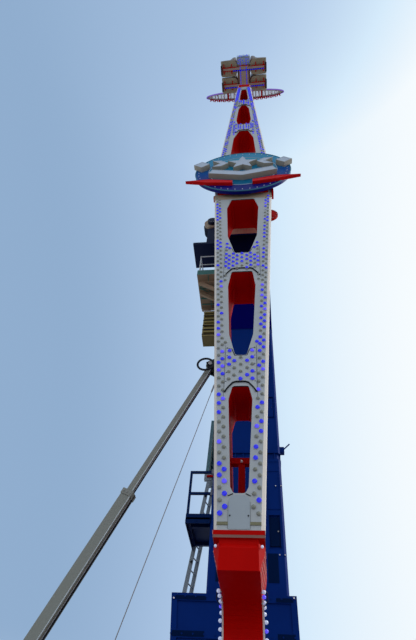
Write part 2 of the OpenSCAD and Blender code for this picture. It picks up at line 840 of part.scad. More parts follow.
// Taut wire from the mast's side down to the chassis, with its two eye blocks
module stay_wire() {
  y = mast_front + mast_edge + 25;
  color("gray") {
    rod([-mast_w / 2 - 30, y, stay_top_z], [-stay_foot_x, y, chassis_top + 20], stay_r);
    span([-mast_w / 2 - 60, y - 25, stay_top_z - 50], [-mast_w / 2, y + 25, stay_top_z + 40]);
    span([-stay_foot_x - 60, y - 25, chassis_top], [-stay_foot_x + 50, y + 25, chassis_top + 60]);
  }
}

// Junction box on the mast's right side with a short pole
module lamp_bracket() {
  box = [110, 130, 150];
  pole = [250, 200, 16];
  x = mast_w / 2;
  y = mast_front + 2 * mast_edge;
  z = mast_joint_z + mast_gap_h;
  color("midnightblue") {
    span([x, y, z], [x + box[0], y + box[1], z + box[2]]);
    rod([x + box[0] / 2, y + box[1] / 2, z + box[2] / 2],
        [x + pole[0], y + box[1] / 2, z + box[2] / 2 + pole[1]], pole[2]);
  }
}

/* arm */

// Front outline of one arm half from distance s0 outwards, its edges set in by an amount
module arm_outline(s0, inset) {
  polygon([
    [-arm_hw(s0) + inset, s0], [arm_hw(s0) - inset, s0],
    [arm_tip_hw - inset, arm_len], [-arm_tip_hw + inset, arm_len]]);
}

// Window i: a long octagon with rounded corners, its shoulders set in from the arm's edge
module window(i) {
  w = windows[i];
  shoulder = w[0] + win_shoulder[i];
  taper = w[1] - win_taper[i];
  polygon(rounded([
    [-win_in_hw[i], w[0]], [win_in_hw[i], w[0]],
    [arm_hw(shoulder) - w[2], shoulder], [arm_hw(taper) - w[2] + margin_draw, taper],
    [win_out_hw[i], w[1]], [-win_out_hw[i], w[1]],
    [-arm_hw(taper) + w[2] - margin_draw, taper], [-arm_hw(shoulder) + w[2], shoulder]], win_corner, 3));
}

module arm_beam(up) {
  brace_s = win3_end - brace_back;
  brace_y = arm_y + brace_in;
  color("firebrick")
    arm_half(up) {
      front_profile(arm_y + face_t, arm_d - face_t)
        difference() {
          arm_outline(hub_hh, 0);
          for (i = [0:2]) window(i);
        }
      // brace across the third window
      span([-arm_tip_hw + 60, brace_y - brace_t / 2, brace_s - brace_t / 2],
           [arm_tip_hw - 60, brace_y + brace_t / 2, brace_s + brace_t / 2]);
      span([-brace_t / 2, brace_y - brace_t / 2 + 15, brace_s],
           [brace_t / 2, brace_y + brace_t / 2, win3_end + cut]);
    }
}

module arm_upper() { arm_beam(true); }
module arm_lower() { arm_beam(false); }

// Half width of the raised cover on each bridge, and the size of its curved ends
bridge_hw = [460, 310];
bridge_share = [1, 0.75];

// Cover on the bridge after window i, its ends shaped round the two windows
module bridge_cover(i) {
  k = bridge_share[i];
  s0 = windows[i][1];
  s1 = windows[i + 1][0];
  polygon(both_sides([
    [win_out_hw[i] + 10, s0 + 60 * k], [win_out_hw[i] + 100 * k, s0 - 210 * k],
    [bridge_hw[i], s0 - 240 * k], [bridge_hw[i], s1 + 210 * k], [bridge_hw[i] - 72 * k, s1 + 68 * k],
    [win_in_hw[i + 1], s1 - 106 * k], [win_in_hw[i + 1] * 0.57, s1 - 140 * k]]));
}

module arm_face(up) {
  color("gainsboro")
    arm_half(up) {
      front_profile(arm_y, face_t)
        difference() {
          arm_outline(0, bevel_w);
          for (i = [0:2]) window(i);
          translate([-hub_hw, -cut]) square([2 * hub_hw, hub_hh + cut]);
        }
      front_profile(arm_y - cover_proud, cover_proud + cut)
        for (i = [0:1]) bridge_cover(i);
    }
}

module face_upper() { arm_face(true); }
module face_lower() { arm_face(false); }

// Section of the strip that wraps the arm's front edge, x from the arm's side and y from its front
trim_section = [
  [fit_gap - arm_bevel, 0], [trim_t, arm_bevel + 5], [trim_t, trim_d],
  [fit_gap, trim_d], [fit_gap, face_t], [fit_gap - arm_bevel, face_t]];

// Strips along the arm's sides and along the neck's sides
module arm_trim(up) {
  color("wheat")
    arm_half(up) {
      intersection() {
        for (s = [0, 1]) mirror([s, 0, 0])
          translate([arm_root_hw, arm_y, 0]) rotate([0, -arm_slant, 0])
            translate([0, 0, -arm_root_hw])
              linear_extrude(height = arm_len + 2 * arm_root_hw) polygon(trim_section);
        span([-2 * arm_root_hw, arm_y - cut, 0], [2 * arm_root_hw, arm_y + arm_d, arm_len]);
      }
      intersection() {
        neck_side(neck_hw + strip_t);
        for (s = [0, 1]) mirror([s, 0, 0])
          span([neck_hw, arm_y, block_end], [neck_hw + strip_t, arm_y + neck_back + cut, neck_end + cut]);
      }
    }
}

module trim_upper() { arm_trim(true); }
module trim_lower() { arm_trim(false); }

// Box between the two arm halves, with the drum, flange and spigot of the main bearing
module hub_box() {
  color("firebrick") {
    span([-hub_hw, arm_y - hub_proud, hub_z - hub_hh], [hub_hw, arm_y + face_t + cut, hub_z + hub_hh]);
    translate([0, 0, hub_z])
      front_profile(arm_y + face_t, arm_d - face_t)
        polygon([
          [-arm_hw(hub_hh), -hub_hh], [arm_hw(hub_hh), -hub_hh], [arm_hw(0), 0],
          [arm_hw(hub_hh), hub_hh], [-arm_hw(hub_hh), hub_hh], [-arm_hw(0), 0]]);
    translate([0, flange_front + cut, hub_z])
      rotate([90, 0, 0]) cylinder(r = ring_r, h = flange_front - arm_back + 2 * cut);
    translate([0, flange_back, hub_z])
      rotate([90, 0, 0]) cylinder(r = flange_r, h = flange_t);
    translate([0, head_front + 200, hub_z])
      rotate([90, 0, 0]) cylinder(r = spigot_r, h = head_front + 200 - flange_back + cut);
  }
}

module sign_disc() {
  color("steelblue") {
    translate([0, arm_y - sign_gap, hub_z])
      rotate([90, 0, 0]) cylinder(r = sign_r, h = sign_t);
    // ring that carries the sign on the hub plate
    translate([0, arm_y - hub_proud, hub_z])
      rotate([90, 0, 0]) cylinder(r = 700, h = sign_gap - hub_proud + cut);
  }
}

// Motifs of the sign, in shares of its radius
star = [for (i = [0:9]) let (a = 90 + 36 * i, r = i % 2 == 0 ? 0.33 : 0.14) [r * cos(a), 0.2 + r * sin(a)]];
chevron = [[0.3, 0.2], [0.46, 0.36], [0.64, 0.36], [0.48, 0.2], [0.64, 0.04], [0.46, 0.04]];
diamond = [[0.7, 0.2], [0.87, 0.36], [1.04, 0.2], [0.87, 0.04]];
wing = [[0, -0.3], [0.62, -0.12], [0.7, -0.3], [0, -0.5]];
dart = [[0.2, -0.62], [0.66, -0.5], [1.16, -0.52], [0.7, -0.66], [0.2, -0.74]];

// Raised blocks on the sign
module sign_blocks() {
  y = arm_y - sign_gap - sign_t;
  color("white")
    translate([0, 0, hub_z])
      front_profile(y - block_t, block_t) {
        polygon(sign_r * star);
        polygon(sign_r * both_sides([for (i = [3, 2, 1, 0]) wing[i]]));
        for (s = [0, 1]) mirror([s, 0, 0]) {
          polygon(sign_r * chevron);
          polygon(sign_r * diamond);
        }
      }
  color("red")
    translate([0, 0, hub_z])
      front_profile(y - block_t * 0.6, block_t * 0.6)
        for (s = [0, 1]) mirror([s, 0, 0]) polygon(sign_r * dart);
}

/* arm ends */

lip_start = arm_len + end_flange_t;
lip_end = lip_start + lip_t;
recess_end = lip_end + 75;
bevel_end = recess_end + 70;
block_end = arm_len + block_len;
neck_end = axle_s + neck_over;
neck_back = neck_front + neck_d;
neck_block_hw = arm_tip_hw + 22;

// Side view of end block and neck, drawn out over a half width
module neck_side(hw) {
  translate([0, arm_y, 0])
    side_profile(concat(
      [[40, lip_end - cut], [40, recess_end], [0, bevel_end], [0, block_end]],
      [for (i = [0:8]) [
        neck_front - neck_curve + neck_curve * sin(90 * i / 8),
        block_end + neck_curve - neck_curve * cos(90 * i / 8)]],
      [[neck_front, neck_end], [neck_back, neck_end], [neck_back, block_end + neck_curve],
       [arm_d, lip_end], [arm_d, lip_end - cut]]), 2 * hw);
}

// Right edge of the neck's front view: straight block, smooth narrowing, straight neck
neck_edge = concat(
  [[neck_block_hw, lip_end - 2 * cut]],
  [for (i = [0:8])
    [neck_hw + (neck_block_hw - neck_hw) * (1 + cos(180 * i / 8)) / 2,
     recess_end + (block_end - recess_end) * i / 8]],
  [[neck_hw, neck_end + cut]]);

// Flanges on the arm's end, the red end block and the neck that sets back to carry the axle
module neck(up) {
  color("firebrick")
    arm_half(up) {
      span([-neck_block_hw, arm_y, arm_len], [neck_block_hw, arm_back, lip_start + cut]);
      span([-neck_block_hw + 6, arm_y + 6, lip_start], [neck_block_hw - 6, arm_back - 6, lip_end]);
      intersection() {
        neck_side(neck_block_hw);
        front_profile(arm_y - cut, neck_back + 2 * cut)
          polygon(both_sides(neck_edge));
        translate([0, arm_y, arm_len])
          linear_extrude(height = neck_end - arm_len + cut)
            polygon(both_sides([
              [block_front_hw, -cut], [block_front_hw, 0], [neck_block_hw, arm_d],
              [neck_block_hw, neck_back + cut]]));
      }
      // axle of the gondola
      translate([0, arm_y + neck_front + cut, axle_s])
        rotate([90, 0, 0]) cylinder(r = axle_r, h = neck_front + cut + axle_reach);
      translate([0, arm_y + neck_front + cut, axle_s])
        rotate([90, 0, 0]) cylinder(r = axle_r + 70, h = 50 + cut);
    }
}

module neck_upper() { neck(true); }
module neck_lower() { neck(false); }

hoop_y = arm_y + neck_front - hoop_gap - hoop_hd;
hoop_steps = 48;
function ellipse(rx, ry) = [
  for (i = [0:hoop_steps - 1]) [rx * cos(360 * i / hoop_steps), ry * sin(360 * i / hoop_steps)]];

slot_pitch = 200;
// Half depth of the hoop's filling at x
function fill_hd(x) = (hoop_hd - 40) * sqrt(1 - pow(x / (hoop_hw - 40), 2));

// Long flat hoop in front of the neck, with a slatted filling and brackets to the neck
module hoop(up) {
  slots = floor((hoop_hw - 380) / slot_pitch);
  color("lightgray")
    arm_half(up) {
      translate([0, hoop_y, hoop_s - hoop_h / 2])
        linear_extrude(height = hoop_h)
          difference() {
            polygon(ellipse(hoop_hw, hoop_hd));
            polygon(ellipse(hoop_hw - 45, hoop_hd - 45));
          }
      translate([0, hoop_y, hoop_s - 12])
        linear_extrude(height = 24)
          difference() {
            polygon(ellipse(hoop_hw - 40, hoop_hd - 40));
            for (i = [-slots:slots]) {
              h = fill_hd(abs(i) * slot_pitch + 70) - 45;
              translate([i * slot_pitch - 70, -h]) square([140, 2 * h]);
            }
          }
      // cross bars
      for (s = [-1, 1]) {
        h = fill_hd(hoop_hw * 0.43) + 10;
        span([s * hoop_hw * 0.43 - 40, hoop_y - h, hoop_s - hoop_h / 2 + 15],
             [s * hoop_hw * 0.43 + 40, hoop_y + h, hoop_s + hoop_h / 2 - 15]);
      }
      for (s = [-1, 1])
        span([s * 180 - 50, hoop_y + hoop_hd - 50, hoop_s - 60],
             [s * 180 + 50, arm_y + neck_front, hoop_s + 60]);
    }
}

module hoop_upper() { hoop(true); }
module hoop_lower() { hoop(false); }

/* gondolas: both hang the same way up, drawn about their axle */

module gondola_at(up) {
  translate([0, arm_y, hub_z + (up ? axle_s : -axle_s)]) children();
}

seat_y0 = -gondola_front + 80;
beam_back = seat_y0 + seat_pitch + seat_l + 50;
housing_back = neck_front - 50 - free_gap;
// Top of the bars that the seats rest on
bar_top = -beam_h / 2 - bar_drop;
bar_h = 130;

module gondola_frame(up) {
  color("firebrick")
    gondola_at(up)
      difference() {
        union() {
          span([-beam_w / 2, -gondola_front, -beam_h / 2], [beam_w / 2, beam_back, beam_h / 2]);
          translate([0, housing_back, 0])
            rotate([90, 0, 0]) cylinder(r = axle_r + 130, h = housing_back - beam_back + cut);
          // cross bars under the middle of each pair of seats
          for (i = [0, 1])
            span([-beam_w / 2 - seat_out + 120, seat_y0 + i * seat_pitch + seat_l / 2 - 65, bar_top - bar_h],
                 [beam_w / 2 + seat_out - 120, seat_y0 + i * seat_pitch + seat_l / 2 + 65, bar_top]);
          span([-beam_w / 2 + 120, seat_y0 + seat_l / 2 - 110, bar_top - bar_h],
               [beam_w / 2 - 120, seat_y0 + seat_pitch + seat_l / 2 + 110, -beam_h / 2 + cut]);
        }
        translate([0, housing_back + cut, 0])
          rotate([90, 0, 0]) cylinder(r = axle_r + run_gap, h = housing_back + axle_reach + 40 + cut);
      }
}

// One bucket seat, back against the beam, facing right, its side at y = 0
module seat() {
  inner = seat_l - 2 * shell_t;
  floor_z = bar_top + 125;
  translate([beam_w / 2, 0, 0])
    difference() {
      translate([0, seat_l, 0])
        rotate([90, 0, 0])
          linear_extrude(height = seat_l)
            polygon([
              [0, bar_top], [seat_out - 60, bar_top], [seat_out, bar_top + 50], [seat_out, bar_top + 150],
              [760, bar_top + 250], [440, bar_top + 310], [340, 60], [290, 360], [230, 520],
              [120, 580], [0, 560]]);
      translate([0, shell_t + inner, 0])
        rotate([90, 0, 0])
          linear_extrude(height = inner)
            polygon([
              [seat_out + cut, floor_z], [700, floor_z - 45], [260, floor_z - 60], [180, floor_z - 30],
              [140, -200], [110, 100], [90, 400], [100, 700], [seat_out + cut, 700]]);
    }
}

module gondola_seats(up, s) {
  color("sienna")
    gondola_at(up)
      mirror([s < 0 ? 1 : 0, 0, 0])
        for (i = [0, 1]) translate([0, seat_y0 + i * seat_pitch, 0]) seat();
}

// Lit cap on the front end of the middle beam
module gondola_cap(up) {
  color("lightsteelblue")
    gondola_at(up)
      translate([0, -gondola_front, 0])
        rotate([90, 0, 0]) {
          linear_extrude(height = 60)
            polygon([
              [-beam_w / 2, -beam_h / 2 + 60], [-beam_w / 2 + 60, -beam_h / 2],
              [beam_w / 2 - 60, -beam_h / 2], [beam_w / 2, -beam_h / 2 + 60],
              [beam_w / 2, beam_h / 2 - 60], [beam_w / 2 - 60, beam_h / 2],
              [-beam_w / 2 + 60, beam_h / 2], [-beam_w / 2, beam_h / 2 - 60]]);
          cylinder(r = beam_h / 2 - 60, h = 80);
        }
}

module gondola_upper_frame() { gondola_frame(true); }
module gondola_upper_seats_left() { gondola_seats(true, -1); }
module gondola_upper_seats_right() { gondola_seats(true, 1); }
module gondola_upper_cap() { gondola_cap(true); }
module gondola_lower_frame() { gondola_frame(false); }
module gondola_lower_seats_left() { gondola_seats(false, -1); }
module gondola_lower_seats_right() { gondola_seats(false, 1); }
module gondola_lower_cap() { gondola_cap(false); }

chassis();
outrigger_front_left();
outrigger_front_right();
outrigger_rear_left();
outrigger_rear_right();
pedestal();
mast();
mast_head();
slew_ring();
drive_left();
drive_right();
drive_deck();
upper_platform();
upper_railing();
vent_box();
lower_platform();
lower_railing();
ladder();
strut_lower();
strut_upper();
strut_bracket();
hose_loop();
stay_wire();
lamp_bracket();
hub_box();
arm_upper();
arm_lower();
face_upper();
face_lower();
trim_upper();
trim_lower();
sign_disc();
sign_blocks();
neck_upper();
neck_lower();
hoop_upper();
hoop_lower();
gondola_upper_frame();
gondola_upper_seats_left();
gondola_upper_seats_right();
gondola_upper_cap();
gondola_lower_frame();
gondola_lower_seats_left();
gondola_lower_seats_right();
gondola_lower_cap();
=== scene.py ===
import math
import random

import bmesh
import bpy
from mathutils import Matrix, Vector


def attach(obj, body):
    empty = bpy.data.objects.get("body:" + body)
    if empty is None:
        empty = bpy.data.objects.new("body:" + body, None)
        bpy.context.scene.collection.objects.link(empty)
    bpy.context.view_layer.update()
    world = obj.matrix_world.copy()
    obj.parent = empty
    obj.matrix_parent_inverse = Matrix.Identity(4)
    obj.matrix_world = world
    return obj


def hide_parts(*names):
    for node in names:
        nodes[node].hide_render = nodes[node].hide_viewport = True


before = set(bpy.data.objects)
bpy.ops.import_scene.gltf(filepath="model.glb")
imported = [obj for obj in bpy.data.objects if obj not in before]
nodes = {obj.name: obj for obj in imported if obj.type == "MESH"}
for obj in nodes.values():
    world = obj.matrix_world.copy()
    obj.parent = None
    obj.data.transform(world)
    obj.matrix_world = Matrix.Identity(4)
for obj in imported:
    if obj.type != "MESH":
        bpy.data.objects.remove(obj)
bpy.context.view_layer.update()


# Camera: a hand-held camera at eye height, close to the foot of the ride and a little to the right,
# tilted far up so that the lower arm looms large and the upper one runs away to its tip.
pitch, roll, yaw = (math.radians(a) for a in (50.11, 5.61, -9.76))
ahead = Vector((math.sin(yaw) * math.cos(pitch), math.cos(yaw) * math.cos(pitch), math.sin(pitch)))
level = Vector((math.cos(yaw), -math.sin(yaw), 0))
above = level.cross(ahead)
to_right = math.cos(roll) * level + math.sin(roll) * above
to_top = -math.sin(roll) * level + math.cos(roll) * above
lens = bpy.data.cameras.new("camera")
lens.sensor_width = 36
lens.lens = 25.99
lens.clip_end = 500
camera = bpy.data.objects.new("camera", lens)
camera.matrix_world = Matrix.Translation((0.389, -10.565, 1.6)) @ Matrix(
    (to_right, to_top, -ahead)).transposed().to_4x4()
bpy.context.scene.collection.objects.link(camera)
bpy.context.scene.camera = camera
bpy.context.scene.view_settings.view_transform = "Standard"


# Floor, daylight and background: a plain pale floor under an even, slightly blue overcast light that
# pales towards the right, with one broad soft lamp from the right, where the sky is brightest.
def add_node(tree, kind, sockets=(), **settings):
    """Adds a shader node, sets what it is told and links the sockets it is given."""
    node = tree.nodes.new("ShaderNode" + kind)
    for key, value in settings.items():
        setattr(node, key, value)
    for key, value in dict(sockets).items():
        if isinstance(value, bpy.types.NodeSocket):
            tree.links.new(value, node.inputs[key])
        else:
            node.inputs[key].default_value = value
    return node


def mixed(tree, share, first, second):
    """A colour between two others."""
    return add_node(tree, "Mix", {0: share, 6: first, 7: second}, data_type="RGBA").outputs[2]


def seen_directly(tree):
    """1 for a ray from the camera, off a gloss or through glass, 0 for the light that surfaces scatter."""
    path = add_node(tree, "LightPath")
    two = add_node(tree, "Math", {
        0: path.outputs["Is Camera Ray"], 1: path.outputs["Is Glossy Ray"]}, operation="MAXIMUM")
    three = add_node(tree, "Math", {
        0: two.outputs[0], 1: path.outputs["Is Transmission Ray"]}, operation="MAXIMUM")
    return three.outputs[0]


def blank_material(name):
    """A new material and its node tree, emptied."""
    material = bpy.data.materials.new(name)
    material.use_nodes = True
    material.node_tree.nodes.clear()
    return material, material.node_tree


floor_mesh = bmesh.new()
bmesh.ops.create_grid(floor_mesh, x_segments=1, y_segments=1, size=220)
floor_data = bpy.data.meshes.new("floor")
floor_mesh.to_mesh(floor_data)
floor_mesh.free()
floor = bpy.data.objects.new("floor", floor_data)
bpy.context.scene.collection.objects.link(floor)
floor_paint, tree = blank_material("pale_floor")
pale = add_node(tree, "BsdfDiffuse", {"Color": (0.72, 0.76, 0.8, 1)})
dull = add_node(tree, "BsdfDiffuse", {"Color": (0.3, 0.29, 0.28, 1)})
both = add_node(tree, "MixShader", {0: seen_directly(tree), 1: dull.outputs[0], 2: pale.outputs[0]})
add_node(tree, "OutputMaterial", {"Surface": both.outputs[0]})
floor_data.materials.append(floor_paint)

world = bpy.data.worlds.new("overcast")
bpy.context.scene.world = world
world.use_nodes = True
tree = world.node_tree
tree.nodes.clear()
where = add_node(tree, "TexCoord")
direction = add_node(tree, "SeparateXYZ", {0: where.outputs["Generated"]})
strength = add_node(tree, "MapRange", {
    "Value": direction.outputs["Z"], "From Min": -0.1, "From Max": 0.9, "To Min": 0.72, "To Max": 1.0})
light = add_node(tree, "Background", {
    "Color": (0.88, 0.95, 1.04, 1), "Strength": strength.outputs[0]})
across = add_node(tree, "MapRange", {
    "Value": direction.outputs["X"], "From Min": -0.42, "From Max": 0.42}, interpolation_type="SMOOTHSTEP")
overhead = add_node(tree, "MapRange", {
    "Value": direction.outputs["Z"], "From Min": 0.93, "From Max": 1.0, "To Min": 1.0, "To Max": 0.4})
paling = add_node(tree, "Math", {
    0: across.outputs[0], 1: overhead.outputs[0]}, operation="MULTIPLY")
pallor = add_node(tree, "ValToRGB", {0: paling.outputs[0]})
for share, colour in ((0.25, (0.42, 0.57, 0.79, 1)), (0.6, (0.67, 0.83, 0.97, 1))):
    pallor.color_ramp.elements.new(share).color = colour
pallor.color_ramp.elements[0].color = (0.28, 0.42, 0.62, 1)
pallor.color_ramp.elements[-1].color = (0.96, 0.99, 1.0, 1)
skyline = add_node(tree, "MapRange", {
    "Value": direction.outputs["Z"], "From Min": 0.0, "From Max": 0.26}, interpolation_type="SMOOTHSTEP")
hazed = mixed(tree, skyline.outputs[0], (0.72, 0.8, 0.88, 1), pallor.outputs[0])
sky = add_node(tree, "Background", {"Color": hazed, "Strength": 1.0})
both = add_node(tree, "MixShader", {0: seen_directly(tree), 1: light.outputs[0], 2: sky.outputs[0]})
add_node(tree, "OutputWorld", {"Surface": both.outputs[0]})

lamp = bpy.data.lights.new("soft_lamp", "SUN")
lamp.energy = 1.5
lamp.angle = math.radians(25)
lamp.color = (1.0, 0.98, 0.95)
lamp_holder = bpy.data.objects.new("soft_lamp", lamp)
lamp_holder.rotation_mode = "QUATERNION"
lamp_holder.rotation_quaternion = Vector((0.8, 0.2, 0.5)).to_track_quat("Z", "Y")
bpy.context.scene.collection.objects.link(lamp_holder)


# Mast: a welded steel column in dark blue paint, two lengths bolted at a flange, with a head that
# reaches forward to the bearing. Rain has left faint streaks, and the front plate of the head is buff.
def painted(name, colour, worn, rough=0.42, specular=0.1, streak=0.5, size=1.0, other=None, pick=None,
            from_height=None, relief=0.1):
    """Weathered spray paint: broad fading, streaks down the surface and a fine orange peel. The other
    colour is carried by faces that look along pick, or by what lies above a height."""
    material, tree = blank_material(name)
    where = add_node(tree, "TexCoord")
    fading = add_node(tree, "TexNoise", {
        "Vector": where.outputs["Object"], "Scale": 0.7 * size, "Detail": 5.0, "Roughness": 0.6})
    stretched = add_node(tree, "Mapping", {
        "Vector": where.outputs["Object"], "Scale": (6 * size, 6 * size, 0.45 * size)})
    streaks = add_node(tree, "TexNoise", {
        "Vector": stretched.outputs[0], "Scale": 1.6, "Detail": 6.0, "Roughness": 0.65})
    marks = add_node(tree, "MapRange", {
        "Value": streaks.outputs[0], "From Min": 0.5, "From Max": 0.78, "To Max": streak})
    faded = add_node(tree, "MapRange", {
        "Value": fading.outputs[0], "From Min": 0.38, "From Max": 0.75, "To Max": 0.7})
    amount = add_node(tree, "Math", {0: faded.outputs[0], 1: marks.outputs[0]}, operation="MAXIMUM")
    base, threshold = None, 0.6
    if pick:
        facing = add_node(tree, "VectorMath", {
            0: where.outputs["Normal"], 1: pick}, operation="DOT_PRODUCT")
        base = facing.outputs["Value"]
    if from_height:
        part = add_node(tree, "SeparateXYZ", {0: where.outputs["Object"]})
        raised = add_node(tree, "Math", {
            0: part.outputs["Z"], 1: threshold - from_height}, operation="ADD")
        base = raised.outputs[0]
    if other:
        chosen = add_node(tree, "Math", {0: base, 1: threshold}, operation="GREATER_THAN")
        base = mixed(tree, chosen.outputs[0], (*colour, 1), (*other, 1))
    dulled = add_node(tree, "Math", {0: amount.outputs[0], 1: 0.55}, operation="MULTIPLY")
    tint = mixed(tree, dulled.outputs[0], base or (*colour, 1), (*worn, 1))
    sheen = add_node(tree, "MapRange", {
        "Value": fading.outputs[0], "To Min": rough - 0.1, "To Max": rough + 0.16})
    peel = add_node(tree, "TexNoise", {
        "Vector": where.outputs["Object"], "Scale": 55 * size, "Detail": 3.0})
    bump = add_node(tree, "Bump", {
        "Height": peel.outputs[0], "Strength": relief, "Distance": 0.003})
    shader = add_node(tree, "BsdfPrincipled", {
        "Base Color": tint, "Roughness": sheen.outputs[0], "Normal": bump.outputs[0],
        "Specular IOR Level": specular})
    add_node(tree, "OutputMaterial", {"Surface": shader.outputs[0]})
    return material


def dress(material, *names):
    """Gives CAD nodes a material in place of the one they came with."""
    for name in names:
        nodes[name].data.materials.clear()
        nodes[name].data.materials.append(material)


navy = painted("navy_paint", (0.0008, 0.026, 0.2), (0.0006, 0.012, 0.1), specular=0.035)
# the head's navy is a little darker than the column's, as painted shade under the arm; its front plate is
# buff
shaded_head_blue = painted("head_paint_shaded", (0.0008, 0.02, 0.16), (0.0006, 0.012, 0.09), specular=0.035,
                    other=(0.75, 0.62, 0.48), pick=(0, -0.62, 0))
dark_navy = painted("dark_navy_paint", (0.006, 0.012, 0.05), (0.004, 0.008, 0.03), specular=0.08)
dress(navy, "mast", "pedestal", "chassis", "lamp_bracket")
dress(navy, "outrigger_front_left", "outrigger_front_right", "outrigger_rear_left", "outrigger_rear_right")
dress(shaded_head_blue, "mast_head")
dress(dark_navy, "drive_deck")


def box_shape(mesh, low, high, paint=0):
    """Adds a box between two corners."""
    low, high = Vector(low), Vector(high)
    size = Matrix.Diagonal((*(high - low), 1))
    made = bmesh.ops.create_cube(mesh, size=1, matrix=Matrix.Translation((low + high) / 2) @ size)
    for face in {f for v in made["verts"] for f in v.link_faces}:
        face.material_index = paint


def round_bar(mesh, start, end, radius, sides=12, paint=0, end_radius=None):
    """Adds a round bar or a cone between two points."""
    start, end = Vector(start), Vector(end)
    turn = (end - start).to_track_quat("Z", "Y").to_matrix().to_4x4()
    made = bmesh.ops.create_cone(
        mesh, cap_ends=True, segments=sides, radius1=radius,
        radius2=radius if end_radius is None else end_radius, depth=(end - start).length,
        matrix=Matrix.Translation((start + end) / 2) @ turn)
    for face in {f for v in made["verts"] for f in v.link_faces}:
        face.material_index = paint


def piece(name, mesh, body, materials, place=None, sharp=32):
    """Turns a bmesh into a piece that rides on a body."""
    if place:
        bmesh.ops.transform(mesh, matrix=place, verts=mesh.verts)
    bmesh.ops.recalc_face_normals(mesh, faces=mesh.faces)
    data = bpy.data.meshes.new(name)
    mesh.to_mesh(data)
    mesh.free()
    data.shade_smooth()
    data.set_sharp_from_angle(angle=math.radians(sharp))
    for material in materials:
        data.materials.append(material)
    made = bpy.data.objects.new(name, data)
    bpy.context.scene.collection.objects.link(made)
    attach(made, body)
    return made


def stud(mesh, x, z, start, end, radius, sides=6, paint=0, end_radius=None):
    """Adds a bolt head or a small lamp that stands out to the front or back, from one depth to another."""
    round_bar(mesh, (x, start, z), (x, end, z), radius, sides, paint, end_radius)


mast_front, mast_half = -0.85, 0.8
joint_low, joint_high = 8.03, 8.28
steel = painted("galvanised_steel", (0.36, 0.37, 0.38), (0.16, 0.16, 0.16), rough=0.35, size=4, specular=0.3)
black = painted("black_paint", (0.012, 0.013, 0.016), (0.03, 0.03, 0.03), rough=0.5, size=3)
# near-black navy that paints shade: on the set-back lower doors, under the hand holes and in the pedestal's
# recesses
recess_shade_navy = painted("recess_shade_paint", (0.0005, 0.011, 0.06), (0.0004, 0.007, 0.035), specular=0.02)
lamp_white = painted("white_lamp_glass", (0.8, 0.83, 0.86), (0.6, 0.62, 0.64), rough=0.2, size=6,
                     specular=0.4)

details = bmesh.new()
for side in (-1, 1):
    # bolts that cross the open joint of the two mast lengths, and straps above and below it
    for i in range(9):
        y = mast_front + 0.12 + i * 0.182
        round_bar(details, (side * 0.782, y, joint_low), (side * 0.782, y, joint_high), 0.017, 6)
    for i in range(8):
        x = -0.66 + i * 0.189
        round_bar(details, (x, side * 0.832, joint_low), (x, side * 0.832, joint_high), 0.017, 6)
    for z in (7.99, 8.24):
        box_shape(details, (-0.755, side * 0.85 - 0.01, z), (0.755, side * 0.85 + 0.01, z + 0.08))
        edge = side * mast_half
        box_shape(details, (edge - 0.01, -mast_half, z), (edge + 0.01, mast_half, z + 0.08))
    # door inside each hand hole with its frame and latch; the upper doors are shut flush with the face,
    # the lower ones sit back and are painted dark as painted shade in the recess
    for z, shut in ((5.97, 0), (9.305, 1)):
        x = side * 0.585
        box_shape(details, (x - 0.105, mast_front + 0.016 * (1 - shut), z + 0.04),
                  (x + 0.105, mast_front + 0.046, z + 0.66), 0 if shut else 3)
        stud(details, x + 0.07, z + 0.35, mast_front, mast_front + 0.03, 0.015, 10, 1)
        for dx in (-0.128, 0.118):
            box_shape(details, (x + dx, mast_front - 0.008, z - 0.01),
                      (x + dx + 0.01, mast_front + 0.01, z + 0.71))
        for dz in (-0.01, 0.70):
            box_shape(details, (x - 0.128, mast_front - 0.008, z + dz),
                      (x + 0.128, mast_front + 0.01, z + dz + 0.01))
    # dark sheet under the hand hole: painted shade on the column's face
    x = side * 0.52
    box_shape(details, (x - 0.105, mast_front - 0.005, 5.3), (x + 0.105, mast_front + 0.004, 5.86), 3)
    # strap over the weld between column and head
    edge = side * mast_half
    box_shape(details, (edge - 0.006, -mast_half, 12.79), (edge + 0.006, mast_half, 12.89))
    # raised frame round a panel, from above the hand hole to the joint
    for x in (side * 0.46, side * 0.73):
        box_shape(details, (x - 0.008, mast_front - 0.012, 6.8), (x + 0.008, mast_front + 0.01, 7.75))
    for z in (6.8, 7.735):
        box_shape(details, (min(side * 0.46, side * 0.73), mast_front - 0.012, z),
                  (max(side * 0.46, side * 0.73), mast_front + 0.01, z + 0.015))
# small work lamps: a white lens in a dark rim
for x, z in ((0.648, 7.36), (0.772, 7.36), (0.66, 5.83), (0.767, 5.83)):
    stud(details, x, z, mast_front - 0.01, mast_front + 0.01, 0.022, 12)
    stud(details, x, z, mast_front - 0.02, mast_front - 0.008, 0.013, 12, 2, 0.01)
# cable duct down the back with its clamps
box_shape(details, (-0.09, 0.845, 5.3), (0.09, 0.91, 12.7))
for z in (6.2, 7.4, 9.3, 10.6, 11.9):
    box_shape(details, (-0.16, 0.845, z), (0.16, 0.925, z + 0.05), 1)
    for x in (-0.13, 0.13):
        stud(details, x, z + 0.025, 0.92, 0.94, 0.014, 6, 1)
piece("mast_fittings", details, "mast", [navy, steel, lamp_white, recess_shade_navy])


# Head: a welded steel box on the column that carries the bearing. Straps cover the welds down its
# sides, lifting eyes are welded on top, and a round plate is bolted over the bearing's back.
def bolt_ring(mesh, x, z, reach, count, start, end, radius, sides=6, paint=0, end_radius=None):
    """Adds studs evenly round a circle about a centre."""
    for i in range(count):
        a = math.radians(360 / count * i)
        stud(mesh, x + reach * math.cos(a), z + reach * math.sin(a), start, end, radius, sides, paint,
             end_radius)


